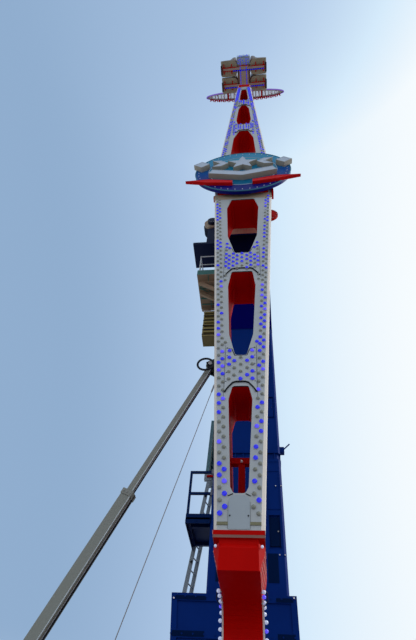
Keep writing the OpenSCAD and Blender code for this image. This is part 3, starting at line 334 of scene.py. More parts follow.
hub_height = 17.8
head = bmesh.new()
for side in (-1, 1):
    edge = side * mast_half
    for y in (-1.9, -0.6, 0.6):
        box_shape(head, (edge - 0.008, y, 16.6), (edge + 0.008, y + 0.07, 19.0))
    box_shape(head, (edge - 0.008, -2.2, 16.5), (edge + 0.008, mast_half, 16.58))
    x = side * 0.5
    for y in (-1.4, 0.25):
        round_bar(head, (x - 0.02, y, 19.78), (x + 0.02, y, 19.78), 0.11, 20, 1)
        box_shape(head, (x - 0.02, y - 0.11, 19.69), (x + 0.02, y + 0.11, 19.78), 1)
stud(head, 0, hub_height, 0.84, 0.9, 0.62, 40)
bolt_ring(head, 0, hub_height, 0.55, 16, 0.9, 0.925, 0.022, 6, 1)
box_shape(head, (-0.09, 0.845, 12.9), (0.09, 0.91, 16.9))
piece("head_fittings", head, "mast", [shaded_head_blue, steel])


# Slanted underside of the head: thin sheet on the steel, nearly black up by the bearing, where the arm's
# shadow is painted on it, and deep blue lower down. Narrow ribs are welded along its two edges and across
# it.
def thicken(mesh, vec):
    """Draws all the faces of a mesh out along a vector into solids."""
    grown = bmesh.ops.extrude_face_region(mesh, geom=mesh.faces[:])
    moved = [v for v in grown["geom"] if isinstance(v, bmesh.types.BMVert)]
    bmesh.ops.translate(mesh, vec=vec, verts=moved)


def join(mesh, part, paint=None):
    """Adds a bmesh into another one, with a paint number of its own."""
    if paint is not None:
        for face in part.faces:
            face.material_index = paint
    data = bpy.data.meshes.new("join")
    part.to_mesh(data)
    part.free()
    mesh.from_mesh(data)
    bpy.data.meshes.remove(data)


def plate(mesh, points, vec, paint=0):
    """Adds a flat plate with its corners at points, drawn out along a vector."""
    part = bmesh.new()
    part.faces.new([part.verts.new(point) for point in points])
    thicken(part, vec)
    join(mesh, part, paint)


# the sheet's upper part, above 14.3 m, is near black: painted shadow of the arm
underside_shadow_paint = painted("head_underside", (0.0005, 0.001, 0.14), (0.0004, 0.001, 0.1), specular=0.02,
                      other=(0.0015, 0.004, 0.02), from_height=14.3)
slant = bmesh.new()
lower_edge, upper_edge = Vector((0, mast_front, 12.84)), Vector((0, -2.325, 16.42))
out = Vector((0, -0.9246, -0.381)) * 0.008
# left, right, start and end of each strip, as a share of the slope; ribs are twice as thick as the sheet
for left, right, start, end, layers in (
        (-0.79, 0.79, 0.01, 0.985, 1), (-0.79, -0.77, 0.01, 0.985, 2), (0.77, 0.79, 0.01, 0.985, 2),
        (-0.77, 0.77, 0.44, 0.446, 2), (-0.77, 0.77, 0.7, 0.706, 2)):
    p, q = lower_edge.lerp(upper_edge, start), lower_edge.lerp(upper_edge, end)
    corners = [(x, v.y, v.z) for x, v in ((left, p), (right, p), (right, q), (left, q))]
    plate(slant, corners, out * layers)
piece("head_underside", slant, "mast", [underside_shadow_paint])


# Pedestal and chassis: a hollow-section frame in the mast's dark blue with four jacks on foot plates.
# Ribs stiffen the pedestal's cheeks, bolts hold its top plate, and a lamp sits near each front corner.
cheek = 1.08
ribs = bmesh.new()
for side in (-1, 1):
    face = side * cheek
    for x in (-0.75, 0.0):
        box_shape(ribs, (x, face - 0.015, 0.7), (x + 0.03, face + 0.004, 4.25))
    for z in (1.6, 3.2):
        box_shape(ribs, (-1.12, face - 0.015, z), (0.81, face + 0.004, z + 0.03))
    for i in range(12):
        x = -1.36 + i * 0.2
        stud(ribs, x, 4.94, face - side * 0.005, face + side * 0.014, 0.016)
        stud(ribs, x, 4.33, face - side * 0.005, face + side * 0.014, 0.016)
    # bolts along the chassis beams
    for i in range(26):
        x = -6.5 + i * 0.39
        stud(ribs, x, 0.48, face - side * 0.005, face + side * 0.016, 0.018, 6, 1)
# dark strips above and below the upper panels of the front cheek: painted shadow under the recess tops
for x0, x1 in ((-1.34, -0.76), (0.54, 0.85)):
    for z0, z1 in ((4.885, 4.955), (4.29, 4.38)):
        box_shape(ribs, (x0, -1.086, z0), (x1, -1.076, z1), 3)
# white lens and rim of the two lamps
for x, z in ((-1.37, 4.9), (0.87, 4.96)):
    stud(ribs, x, z, -1.092, -1.07, 0.024, 12)
    stud(ribs, x, z, -1.1, -1.09, 0.015, 12, 2)
# collar, cross bar and foot bolts of each jack
for x in (-6.0, 3.1):
    for y in (-4.88, 3.28):
        round_bar(ribs, (x, y, 0.6), (x, y, 0.68), 0.075, 16, 1)
        box_shape(ribs, (x - 0.2, y - 0.02, 0.5), (x + 0.2, y + 0.02, 0.54), 1)
        for dx in (-0.36, 0.36):
            for dy in (-0.36, 0.36):
                round_bar(ribs, (x + dx, y + dy, 0.055), (x + dx, y + dy, 0.085), 0.03, 6, 1)
piece("pedestal_ribs", ribs, "mast", [navy, steel, lamp_white, recess_shade_navy])


# Bearing: a machined slewing ring bolted to the head. The gearmotor on the left has a buff brake ring
# and a ribbed body, and the pinion on the right runs under a half-round red cover.
ring_steel = painted("machined_steel", (0.2, 0.21, 0.22), (0.08, 0.08, 0.08), rough=0.3, size=4,
                     specular=0.3)
motor_paint = painted("motor_paint", (0.01, 0.016, 0.04), (0.006, 0.008, 0.02), size=4, specular=0.15)
red = painted("red_paint", (0.52, 0.002, 0.001), (0.3, 0.001, 0.001), specular=0.03, streak=0.35)
# buff also paints the sign's shadow on the arm, between the hub and the first window
buff_and_shadow = painted("buff_paint_and_shadow", (0.42, 0.33, 0.24), (0.3, 0.23, 0.16), size=4)
dress(ring_steel, "slew_ring")
dress(motor_paint, "drive_left")
dress(red, "drive_right")
bearing = bmesh.new()
bolt_ring(bearing, 0, hub_height, 0.76, 36, -2.40, -2.43, 0.018)
# bolts round the pinion's half cover
for i in range(7):
    a = math.radians(-78 + 26 * i)
    stud(bearing, 0.8 + 0.405 * math.cos(a), hub_height + 0.405 * math.sin(a), -2.32, -2.345, 0.02)
# brake ring, cooling ribs, fan grille and terminal box of the gearmotor
motor_x, motor_z = -1.29, 18.13
stud(bearing, motor_x, motor_z, -1.925, -1.81, 0.325, 40, 1)
for i in range(8):
    y = -1.78 + i * 0.045
    stud(bearing, motor_x, motor_z, y, y + 0.012, 0.362, 36, 2)
for i in range(4):
    stud(bearing, motor_x, motor_z, -1.035, -1.022, 0.06 + i * 0.05, 24, 2)
box_shape(bearing, (motor_x - 0.12, -1.72, motor_z + 0.3), (motor_x + 0.12, -1.5, motor_z + 0.42), 2)
bolt_ring(bearing, motor_x, motor_z, 0.15, 10, -2.05, -2.07, 0.014)
piece("bearing_fittings", bearing, "mast", [steel, buff_and_shadow, motor_paint])


# Platforms: beside the mast head a plywood floor on a teal frame with a white hand rail, and low down a
# dark blue one with square rails. Thin teal braces cross under the upper floor.
teal = painted("teal_paint", (0.3, 0.22, 0.15), (0.2, 0.14, 0.1), size=3,
               other=(0.04, 0.18, 0.17), from_height=14.61)
teal_bar = painted("teal_bar", (0.06, 0.2, 0.17), (0.03, 0.1, 0.09), size=5)
rail_white = painted("rail_white", (0.6, 0.68, 0.72), (0.4, 0.44, 0.46), size=4)
# the vent box's faces that look down are painted a little darker, as painted shade
olive = painted("vent_paint", (0.24, 0.21, 0.08), (0.12, 0.1, 0.04), size=3,
                other=(0.2, 0.17, 0.07), pick=(0, 0, -1))
tread = painted("chequer_plate", (0.14, 0.16, 0.2), (0.07, 0.08, 0.1), rough=0.35, size=5, specular=0.2)
dress(teal, "upper_platform")
dress(rail_white, "upper_railing")
dress(olive, "vent_box")
platform_navy = painted("platform_navy", (0.0008, 0.015, 0.085), (0.0006, 0.008, 0.05), specular=0.04)
dress(platform_navy, "lower_platform", "lower_railing")
braces = bmesh.new()
under = 14.6
for start, end in (((-1.6, -1.3), (-0.82, -0.87)), ((-0.82, -1.3), (-1.6, -0.87))):
    round_bar(braces, (*start, under - 0.02), (*end, under - 0.02), 0.013, 8)
for y in (-1.5, -1.36, -1.28, -0.85, -0.6):
    box_shape(braces, (-1.6, y - 0.012, under - 0.035), (-0.81, y + 0.012, under))
box_shape(braces, (-1.27, -1.84, under - 0.03), (-1.25, -0.4, under))
# middle rail of the hand rail, and a pale edge on the slatted box
rail_x, rail_z = -1.59, 15.3
round_bar(braces, (rail_x, -1.8, rail_z), (rail_x, -0.42, rail_z), 0.014, 10, 1)
for y in (-1.803, -0.417):
    round_bar(braces, (rail_x, y, rail_z), (-mast_half, y, rail_z), 0.013, 10, 1)
box_shape(braces, (-1.46, -0.85, 13.86), (-0.81, -0.36, 13.885), 1)
for z in (12.68, 12.9, 13.12, 13.38, 13.62):
    box_shape(braces, (-1.445, -0.843, z), (-0.82, -0.83, z + 0.035), 2)
piece("platform_braces", braces, "mast", [teal_bar, rail_white, black])

lower = bmesh.new()
spacing = 0.11
# treads of the chequer plate on both floors, the lower platform's apron and hand rail brackets
for top, x0, x1, y0, y1 in ((6.684, -1.33, -0.81, -0.83, 0.45), (14.66, -1.6, -0.81, -1.81, -0.4)):
    columns, rows = round((x1 - x0) / spacing), round((y1 - y0) / spacing)
    for i in range(columns):
        for j in range(rows):
            x, y = x0 + 0.06 + i * spacing, y0 + 0.06 + j * spacing
            tilt = 0.025 if (i + j) % 2 else -0.025
            round_bar(lower, (x - 0.025, y - tilt, top), (x + 0.025, y + tilt, top), 0.006, 4, 1)
box_shape(lower, (-1.349, -0.85, 6.47), (-1.337, 0.46, 6.6))
box_shape(lower, (-1.337, -0.85, 6.47), (-0.81, -0.838, 6.6))
for z in (7.2, 7.745):
    box_shape(lower, (-0.84, -0.82, z - 0.05), (-0.79, -0.74, z + 0.07), 1)
for x in (-1.34, -1.1, -0.86):
    stud(lower, x, 6.53, -0.845, -0.86, 0.014)
piece("platform_treads", lower, "mast", [platform_navy, tread])


# Ladder, telescopic strut, hose and stay wire: light grey steel. The strut is a square tube that slides
# in a larger one, painted darker on its lower faces as painted shade, and the hose loops out beside its
# head.
strut_grey = painted("strut_paint", (0.25, 0.27, 0.25), (0.22, 0.22, 0.17), size=0.3, streak=0.1,
                     specular=0.2, other=(0.13, 0.12, 0.08), pick=(0.7, 0, -0.6), relief=0.01)
ladder_grey = painted("ladder_grey", (0.3, 0.36, 0.4), (0.2, 0.23, 0.26), size=4,
                      other=(0.12, 0.26, 0.28), from_height=8.5)
rubber = painted("hose_rubber", (0.02, 0.022, 0.03), (0.05, 0.05, 0.05), rough=0.6, size=6)
dress(strut_grey, "strut_lower", "strut_upper")
dress(ladder_grey, "ladder")
dress(black, "strut_bracket")
dress(rubber, "hose_loop")
dress(steel, "stay_wire")

foot, top = Vector((-5.49, -0.59, 0.88)), Vector((-1.09, -0.59, 11.45))
along = (top - foot).normalized()
joint = foot + 0.61 * (top - foot)
across_strut = Vector((0, 1, 0)).cross(along)
strut_parts = bmesh.new()
# a pale bar on the front lower edge of each tube as a painted highlight, a steel and a black oil pipe
# underneath, and the collar's screws
lower_end, upper_end = foot + 0.05 * (top - foot), foot + 0.985 * (top - foot)
for a, b, half in ((lower_end, joint, 0.1275), (joint, upper_end, 0.0775)):
    for side, front, thick, paint in (
            (0.94, -0.98, 0.011, 1), (1.0, -0.1, 0.014, 2), (1.02, 0.35, 0.026, 3)):
        at = across_strut * half * side + Vector((0, half * front, 0))
        round_bar(strut_parts, a + at, b + at, thick, 8, paint)
for k in (-1, 0, 1):
    for dy in (-0.145, 0.145):
        at = joint - along * 0.07 + across_strut * 0.09 * k
        round_bar(strut_parts, at + Vector((0, dy, 0)), at + Vector((0, dy * 1.12, 0)), 0.016, 6, 2)
for at, reach in ((foot, 0.218), (top, 0.168)):
    for side in (-1, 1):
        inner, outer = Vector((0, side * reach, 0)), Vector((0, side * (reach + 0.03), 0))
        round_bar(strut_parts, at + inner, at + outer, 0.075, 6, 2)
piece("strut_fittings", strut_parts, "mast", [strut_grey, rail_white, steel, black])


# Ladder fittings: a small red steel arm on the mast at the ladder's coupling, black caps on the stile,
# bolts, a teal sheet behind the upper rungs, and the two steel end fittings of the stay wire.
ladder_parts = bmesh.new()
box_shape(ladder_parts, (-1.12, 0.42, 8.38), (-0.79, 0.46, 8.43))
for s in (0.12, 0.36, 0.62, 0.86):
    a = Vector((-1.52, 0, 5.025)).lerp(Vector((-1.07, 0, 8.3)), s)
    stud(ladder_parts, a.x + 0.02, a.z, 0.447, 0.457, 0.03, 10, 2)
for z in (7.18, 8.4, 10.1):
    for y in (0.5, 0.82):
        stud(ladder_parts, -0.83, z, y - 0.05, y + 0.05, 0.018, 6, 1)
plate(ladder_parts, ((-1.085, 0.51, 8.55), (-1.085, 0.81, 8.55), (-1.025, 0.81, 10.2), (-1.025, 0.51, 10.2)),
      (0.008, 0, 0), 3)
wire_top, wire_foot = Vector((-0.83, -0.78, 10.97)), Vector((-3.333, -0.78, 0.57))
for share in (0.04, 0.95):
    a, b = wire_top.lerp(wire_foot, share), wire_top.lerp(wire_foot, share + 0.025)
    round_bar(ladder_parts, a, b, 0.024, 8, 1)
piece("ladder_fittings", ladder_parts, "mast", [red, steel, black, teal_bar])


# Arm: a tapering red box of welded plate with three windows in each half, white panels on its front and
# cream strips along its sides.
# faces of the white panels that look down, such as the edges over the windows, are painted near black as
# painted shade
panel_white = painted("panel_white", (0.46, 0.5, 0.53), (0.33, 0.35, 0.35), rough=0.35, streak=0.35,
                      other=(0.03, 0.03, 0.03), pick=(0, 0, -0.9))
cream = painted("cream_paint", (0.72, 0.68, 0.64), (0.5, 0.44, 0.38), streak=0.4)
dress(red, "arm_upper", "arm_lower", "hub_box")
dress(panel_white, "face_upper", "face_lower")
dress(cream, "trim_upper", "trim_lower")

arm_front, arm_depth = -3.865, 1.08
arm_length, root_half, tip_half = 12.937, 1.008, 0.36
cover_out = 0.03
# start, end, inner half width, outer half width, shoulder, outer taper and margin of each window
windows = (
    (1.836, 5.190, 0.375, 0.200, 0.594, 0.920, 0.384),
    (6.118, 9.243, 0.272, 0.119, 0.630, 0.653, 0.327),
    (10.104, 12.352, 0.159, 0.096, 0.324, 0.110, 0.260))
margin_draw = 0.013


def arm_half(s):
    """Half width of the arm at a distance from the hub."""
    return root_half + (tip_half - root_half) * s / arm_length


def window_sides(number):
    """Right side of a window's outline, from the hub outwards."""
    start, end, inner, outer, shoulder, taper, margin = windows[number]
    a, b = start + shoulder, end - taper
    return [(inner, start), (arm_half(a) - margin, a), (arm_half(b) - margin + margin_draw, b),
            (outer, end)]


def window_half(s):
    """Half width of the window at a distance from the hub, 0 where the arm is closed."""
    for number in range(3):
        side = window_sides(number)
        for (x0, s0), (x1, s1) in zip(side, side[1:]):
            if s0 <= s <= s1:
                return x0 + (x1 - x0) * (s - s0) / (s1 - s0)
    return 0


def on_arm(which):
    """Places what is drawn about the hub, s along +Z, on the upper or the lower half of the arm."""
    turn = Matrix.Rotation(0 if which == "upper" else math.pi, 4, "Y")
    return Matrix.Translation((0, 0, hub_height)) @ turn


def flat_face(mesh, points, y):
    """Adds one flat face in front view, points as (x, height)."""
    return mesh.faces.new([mesh.verts.new((x, y, s)) for x, s in points])


def ring_round(number, gap, width, height, keep=None, y=arm_front):
    """A flat strip that runs round a window at a gap from its edge; keep cuts it off at a distance."""
    mesh = bmesh.new()
    half = window_sides(number)
    face = flat_face(mesh, half + [(-x, s) for x, s in reversed(half)], y)
    bmesh.ops.bevel(mesh, geom=mesh.verts[:], affect="VERTICES", offset=0.03, segments=3, profile=0.5,
                    material=-1)
    for distance in (gap, width):
        if distance:
            inner = mesh.faces[:]
            bmesh.ops.inset_region(mesh, faces=inner, thickness=distance, use_outset=True,
                                   use_even_offset=True, use_boundary=True)
            if distance is width:
                bmesh.ops.delete(mesh, geom=inner, context="FACES")
    if keep:
        distance, side = keep
        bmesh.ops.bisect_plane(mesh, geom=mesh.verts[:] + mesh.edges[:] + mesh.faces[:],
                               plane_co=(0, 0, distance), plane_no=(0, 0, side), clear_outer=True)
    thicken(mesh, (0, -height, 0))
    return mesh


pink = painted("pink_edge", (0.75, 0.3, 0.26), (0.6, 0.22, 0.2), size=4)
edge_beige = painted("window_edging", (0.6, 0.55, 0.5), (0.45, 0.4, 0.36), size=4)
amber = painted("reflector", (0.2, 0.19, 0.1), (0.12, 0.11, 0.06), rough=0.25, size=8, specular=0.4)
joint_grey = painted("joint_grey", (0.16, 0.17, 0.17), (0.1, 0.1, 0.1), size=6)
cover_grey = painted("cover_grey", (0.38, 0.44, 0.49), (0.3, 0.34, 0.37), rough=0.35)
# right half of the outline of each raised bridge cover's two ends
cover_ends = (
    ((0.21, 5.25), (0.30, 4.98), (0.46, 4.95)),
    ((0.46, 6.328), (0.388, 6.186), (0.272, 6.012), (0.155, 5.978)),
    ((0.129, 9.288), (0.194, 9.0855), (0.31, 9.063)),
    ((0.31, 10.2615), (0.256, 10.155), (0.159, 10.0245), (0.0906, 9.999)))
for which in ("upper", "lower"):
    edging = bmesh.new()
    for number in range(3):
        # rolled edging round each window, in front and behind
        join(edging, ring_round(number, 0, 0.016, 0.008), 0)
        join(edging, ring_round(number, 0, 0.05, -0.012, y=arm_front + arm_depth), 5)
    # lamp on the brace in the third window
    stud(edging, 0, 11.36, arm_front + 0.65, arm_front + 0.62, 0.03, 12, 4, 0.02)
    # upright joints beside the bridge covers and the panels' seams
    for first, last, x in ((4.9, 6.42, 0.475), (8.95, 10.45, 0.325)):
        for side in (-1, 1):
            box_shape(edging, (side * x - 0.004, arm_front - 0.002, first),
                      (side * x + 0.004, arm_front + 0.01, last), 6)
            s = first + 0.1
            while s < last:
                stud(edging, side * (x - 0.04), s, arm_front - 0.034, arm_front - 0.028, 0.011, 8, 1)
                s += 0.24
    # black bars along the ends of the raised covers: painted shade under the covers' edges
    shadow_line_y = arm_front - 0.014
    for outline in cover_ends:
        for (x0, s0), (x1, s1) in zip(outline, outline[1:]):
            for side in (-1, 1):
                round_bar(edging, (side * x0, shadow_line_y, s0), (side * x1, shadow_line_y, s1), 0.018, 8, 1)
    for x, s in (cover_ends[0][0], cover_ends[1][-1], cover_ends[2][0], cover_ends[3][-1]):
        round_bar(edging, (-x, shadow_line_y, s), (x, shadow_line_y, s), 0.018, 8, 1)
    # buff strip between the hub and the first window: the sign's shadow, painted on the panel
    box_shape(edging, (-0.955, arm_front - 0.003, 1.45), (0.955, arm_front + 0.01, 1.79), 7)
    # cover of the arm's end with an arched top, its screws and the two reflectors beside it
    low = [edging.verts.new((x, arm_front - 0.006, s)) for x, s in (
        (0.168, 12.925), (0.168, 12.385), (-0.168, 12.385), (-0.168, 12.925))]
    cover = edging.faces.new(low)
    cover.material_index = 2
    bmesh.ops.bevel(edging, geom=low[1:3], affect="VERTICES", offset=0.12, segments=6, profile=0.5,
                    material=-1)
    for x in (-0.14, 0.14):
        stud(edging, x, 12.72, arm_front - 0.002, arm_front - 0.014, 0.012, 8, 1)
    for x in (-0.249, 0.249):
        box_shape(edging, (x - 0.084, arm_front - 0.012, 12.817), (x + 0.084, arm_front + 0.01, 12.863), 3)
    for side in (-1, 1):
        round_bar(edging, (side * 0.1, arm_front - 0.004, 12.36), (side * 0.178, arm_front - 0.004, 12.40),
                  0.008, 6, 1)
        box_shape(edging, (side * 0.166, arm_front - 0.008, 12.5),
                  (side * 0.17, arm_front - 0.001, 12.92), 6)
    piece(f"window_edging_{which}", edging, "arm",
          [edge_beige, black, cover_grey, amber, lamp_white, red, joint_grey, buff_and_shadow], on_arm(which))

    # back of the arm: welded cross straps between the windows and the cable pipe to the arm's end
    rear = bmesh.new()
    back = arm_front + arm_depth
    for s in (5.3, 6.0, 9.35, 9.98, 12.5):
        half = arm_half(s) - 0.02
        box_shape(rear, (-half, back - 0.005, s), (half, back + 0.016, s + 0.06))
    for side in (-1, 1):
        x0, x1 = side * (arm_half(1.5) - 0.1), side * (arm_half(12.8) - 0.1)
        round_bar(rear, (x0, back + 0.03, 1.5), (x1, back + 0.03, 12.8), 0.022, 8, 1)
        for i in range(12):
            s = 1.9 + i * 0.95
            x = side * (arm_half(s) - 0.1)
            box_shape(rear, (x - 0.05, back - 0.002, s), (x + 0.05, back + 0.056, s + 0.03), 1)
        # rivets along the side, behind the cream strip
        for i in range(44):
            s = 1.6 + i * 0.256
            x = side * arm_half(s)
            round_bar(rear, (x - side * 0.01, arm_front + 0.68, s), (x + side * 0.012, arm_front + 0.68, s),
                      0.014, 6)
    piece(f"arm_back_{which}", rear, "arm", [red, steel], on_arm(which))


# Lamps of the arm: plastic domes on pale rings, in two staggered rows along each margin and in rows
# over the bridges between the windows. About half are lit blue, and near the upper tip all are.
def glass(name, colour, glow, strength, rough=0.25):
    """Moulded plastic lens; a lit one glows from within."""
    material, tree = blank_material(name)
    where = add_node(tree, "TexCoord")
    moulding = add_node(tree, "TexNoise", {
        "Vector": where.outputs["Object"], "Scale": 9.0, "Detail": 3.0})
    tint = mixed(tree, moulding.outputs[0], (*colour, 1), (*(c * 0.6 for c in colour), 1))
    shader = add_node(tree, "BsdfPrincipled", {
        "Base Color": tint, "Roughness": rough, "Emission Color": (*glow, 1),
        "Emission Strength": strength, "Coat Weight": 0.3})
    add_node(tree, "OutputMaterial", {"Surface": shader.outputs[0]})
    return material


lit_blue = glass("lit_blue_lens", (0.004, 0.004, 0.28), (0.005, 0.005, 1.0), 0.55)
lit_violet = glass("lit_violet_lens", (0.03, 0.02, 0.35), (0.1, 0.07, 1.0), 0.75)
unlit = glass("unlit_lens", (0.27, 0.28, 0.23), (0, 0, 0), 0.0)
lit_white = glass("white_lens", (0.4, 0.4, 0.55), (0.4, 0.4, 1.0), 0.12)
lamp_ring = painted("lamp_ring", (0.45, 0.47, 0.48), (0.34, 0.34, 0.33), size=10)


def face_front(mesh, name):
    """Turns a small mesh from +Z to the front and keeps it for stamping."""
    turn = Matrix.Rotation(math.pi / 2, 3, "X")
    bmesh.ops.rotate(mesh, cent=(0, 0, 0), matrix=turn, verts=mesh.verts)
    data = bpy.data.meshes.new(name)
    mesh.to_mesh(data)
    mesh.free()
    return data


def dome(radius, paint):
    """A domed lamp that faces the front, on a shallow ring."""
    mesh = bmesh.new()
    bmesh.ops.create_uvsphere(mesh, u_segments=10, v_segments=6, radius=radius * 0.85)
    bmesh.ops.bisect_plane(mesh, geom=mesh.verts[:] + mesh.edges[:] + mesh.faces[:],
                           plane_co=(0, 0, 0), plane_no=(0, 0, 1), clear_inner=True)
    for face in mesh.faces:
        face.material_index = paint
    bmesh.ops.scale(mesh, vec=(1, 1, 0.75), verts=mesh.verts)
    bmesh.ops.translate(mesh, vec=(0, 0, 0.006), verts=mesh.verts)
    bmesh.ops.create_cone(mesh, cap_ends=True, segments=10, radius1=radius, radius2=radius * 0.9,
                          depth=0.012)
    return face_front(mesh, "dome")


def stamp(mesh, shape, place):
    """Adds a copy of a small mesh at a place."""
    shape.transform(place)
    mesh.from_mesh(shape)
    shape.transform(place.inverted())


def on_cover(x, s):
    """True where a lamp stands on one of the raised bridge covers."""
    for number, half in ((0, 0.46), (1, 0.31)):
        first, last = windows[number][1] - 0.2, windows[number + 1][0] + 0.15
        if abs(x) < half and first < s < last:
            return True
    return False


random.seed(31)
domes = {paint: dome(0.051 if paint < 3 else 0.043, paint) for paint in (1, 2, 3, 4)}
wide_dome = dome(0.062, 1)
for which in ("upper", "lower"):
    lamps = bmesh.new()
    rows = []
    lamp_step = 0.215
    for side in (-1, 1):
        for inset, shift in ((0.078, 0.0), (0.157, 0.5)):
            s = 1.72 + shift * lamp_step
            while s < arm_length - 0.15:
                rows.append((side * (arm_half(s) - inset), s))
                s += lamp_step
    for first, last in ((4.5, 6.62), (8.75, 10.3)):
        for x in (0, 0.13, -0.13, 0.235, -0.235, 0.34, -0.34, 0.425, -0.425):
            s = first + (0.1 if abs(x) in (0.13, 0.34) else 0)
            while s < last:
                clear = window_half(s)
                ends = windows[0][1], windows[1][0], windows[1][1], windows[2][0]
                near = min(abs(s - end) for end in ends)
                if (abs(x) > clear + 0.085 if clear else near > 0.07) and abs(x) < arm_half(s) - 0.215:
                    rows.append((x, s))
                s += 0.2
    lit = True
    for x, s in rows:
        if random.random() < 0.38:
            lit = not lit
        paint = 1 if lit else 3
        if lit and random.random() < 0.15:
            paint = 2
        if not lit and random.random() < 0.06:
            paint = 4
        if which == "upper" and (s > 10.2 or random.random() < 0.25):
            paint = 1
        if paint > 2 and s < 6.7 and on_cover(x, s) and random.random() < 0.5:
            paint = 1
        front = arm_front - 0.005 - (cover_out if on_cover(x, s) else 0)
        end_lamp = which == "upper" and s > 9.0 and paint == 1
        stamp(lamps, wide_dome if end_lamp else domes[paint], Matrix.Translation((x, front, s)))
    piece(f"arm_lamps_{which}", lamps, "arm",
          [lamp_ring, lit_blue, lit_violet, unlit, lit_white], on_arm(which))


# Arm ends: red end block bolted to the arm, a neck that sets back behind the gondola, bulbs on its
# strips, and the flat hoop in front of the neck with a lit rim and a toothed red edge.
dress(red, "neck_upper", "neck_lower")
hoop_grey = painted("hoop_grey", (0.36, 0.36, 0.38), (0.24, 0.22, 0.24), size=3)
hoop_pale = painted("hoop_pale", (0.85, 0.85, 0.88), (0.7, 0.68, 0.7), size=3)
dress(hoop_grey, "hoop_upper", "hoop_lower")
lip_brown = painted("lip_brown", (0.26, 0.13, 0.11), (0.16, 0.08, 0.07), size=4)
bulb_glass = glass("bulb_glass", (0.72, 0.78, 0.9), (0.5, 0.6, 1.0), 0.3, rough=0.12)
violet_rim = glass("violet_rim", (0.1, 0.04, 0.25), (0.2, 0.08, 0.6), 0.6)
axle_s = 15.343
block_half = 0.382
# centre, half length and half width of the hoop's ring
hoop_y, hoop_long, hoop_wide = arm_front + 1.1, 2.45, 0.25


def bulb(radius, paint=1):
    """A round bulb on a short socket that faces the front."""
    mesh = bmesh.new()
    bmesh.ops.create_uvsphere(mesh, u_segments=10, v_segments=8, radius=radius)
    for face in mesh.faces:
        face.material_index = paint
    bmesh.ops.translate(mesh, vec=(0, 0, radius * 1.25), verts=mesh.verts)
    bmesh.ops.create_cone(mesh, cap_ends=True, segments=10, radius1=radius * 0.7, radius2=radius * 0.6,
                          depth=radius * 0.8, matrix=Matrix.Translation((0, 0, radius * 0.3)))
    return face_front(mesh, "bulb")


def tube(mesh, points, radius, closed=False, paint=0, sides=2):
    """Adds a bent round tube that follows points."""
    curve = bpy.data.curves.new("tube", "CURVE")
    curve.dimensions = "3D"
    curve.bevel_depth = radius
    curve.bevel_resolution = sides
    curve.use_fill_caps = not closed
    spline = curve.splines.new("POLY")
    spline.points.add(len(points) - 1)
    for point, place in zip(spline.points, points):
        point.co = (*place, 1)
    spline.use_cyclic_u = closed
    holder = bpy.data.objects.new("tube", curve)
    data = bpy.data.meshes.new_from_object(holder)
    for polygon in data.polygons:
        polygon.material_index = paint
    mesh.from_mesh(data)
    bpy.data.objects.remove(holder)
    bpy.data.curves.remove(curve)
    bpy.data.meshes.remove(data)


def neck_front(s):
    """Distance of the neck's front from the arm's front at a distance from the hub."""
    if s < 13.5:
        return 0.0
    if s > 13.95:
        return 1.45
    return 1.0 + 0.45 * math.sin(math.acos(1 - (s - 13.5) / 0.45))


def cheek_half(s):
    """Half width of the end block's cheeks at a distance from the hub."""
    return 0.3 + 0.038 * (1 + math.cos(math.pi * (s - 13.122) / 0.378))


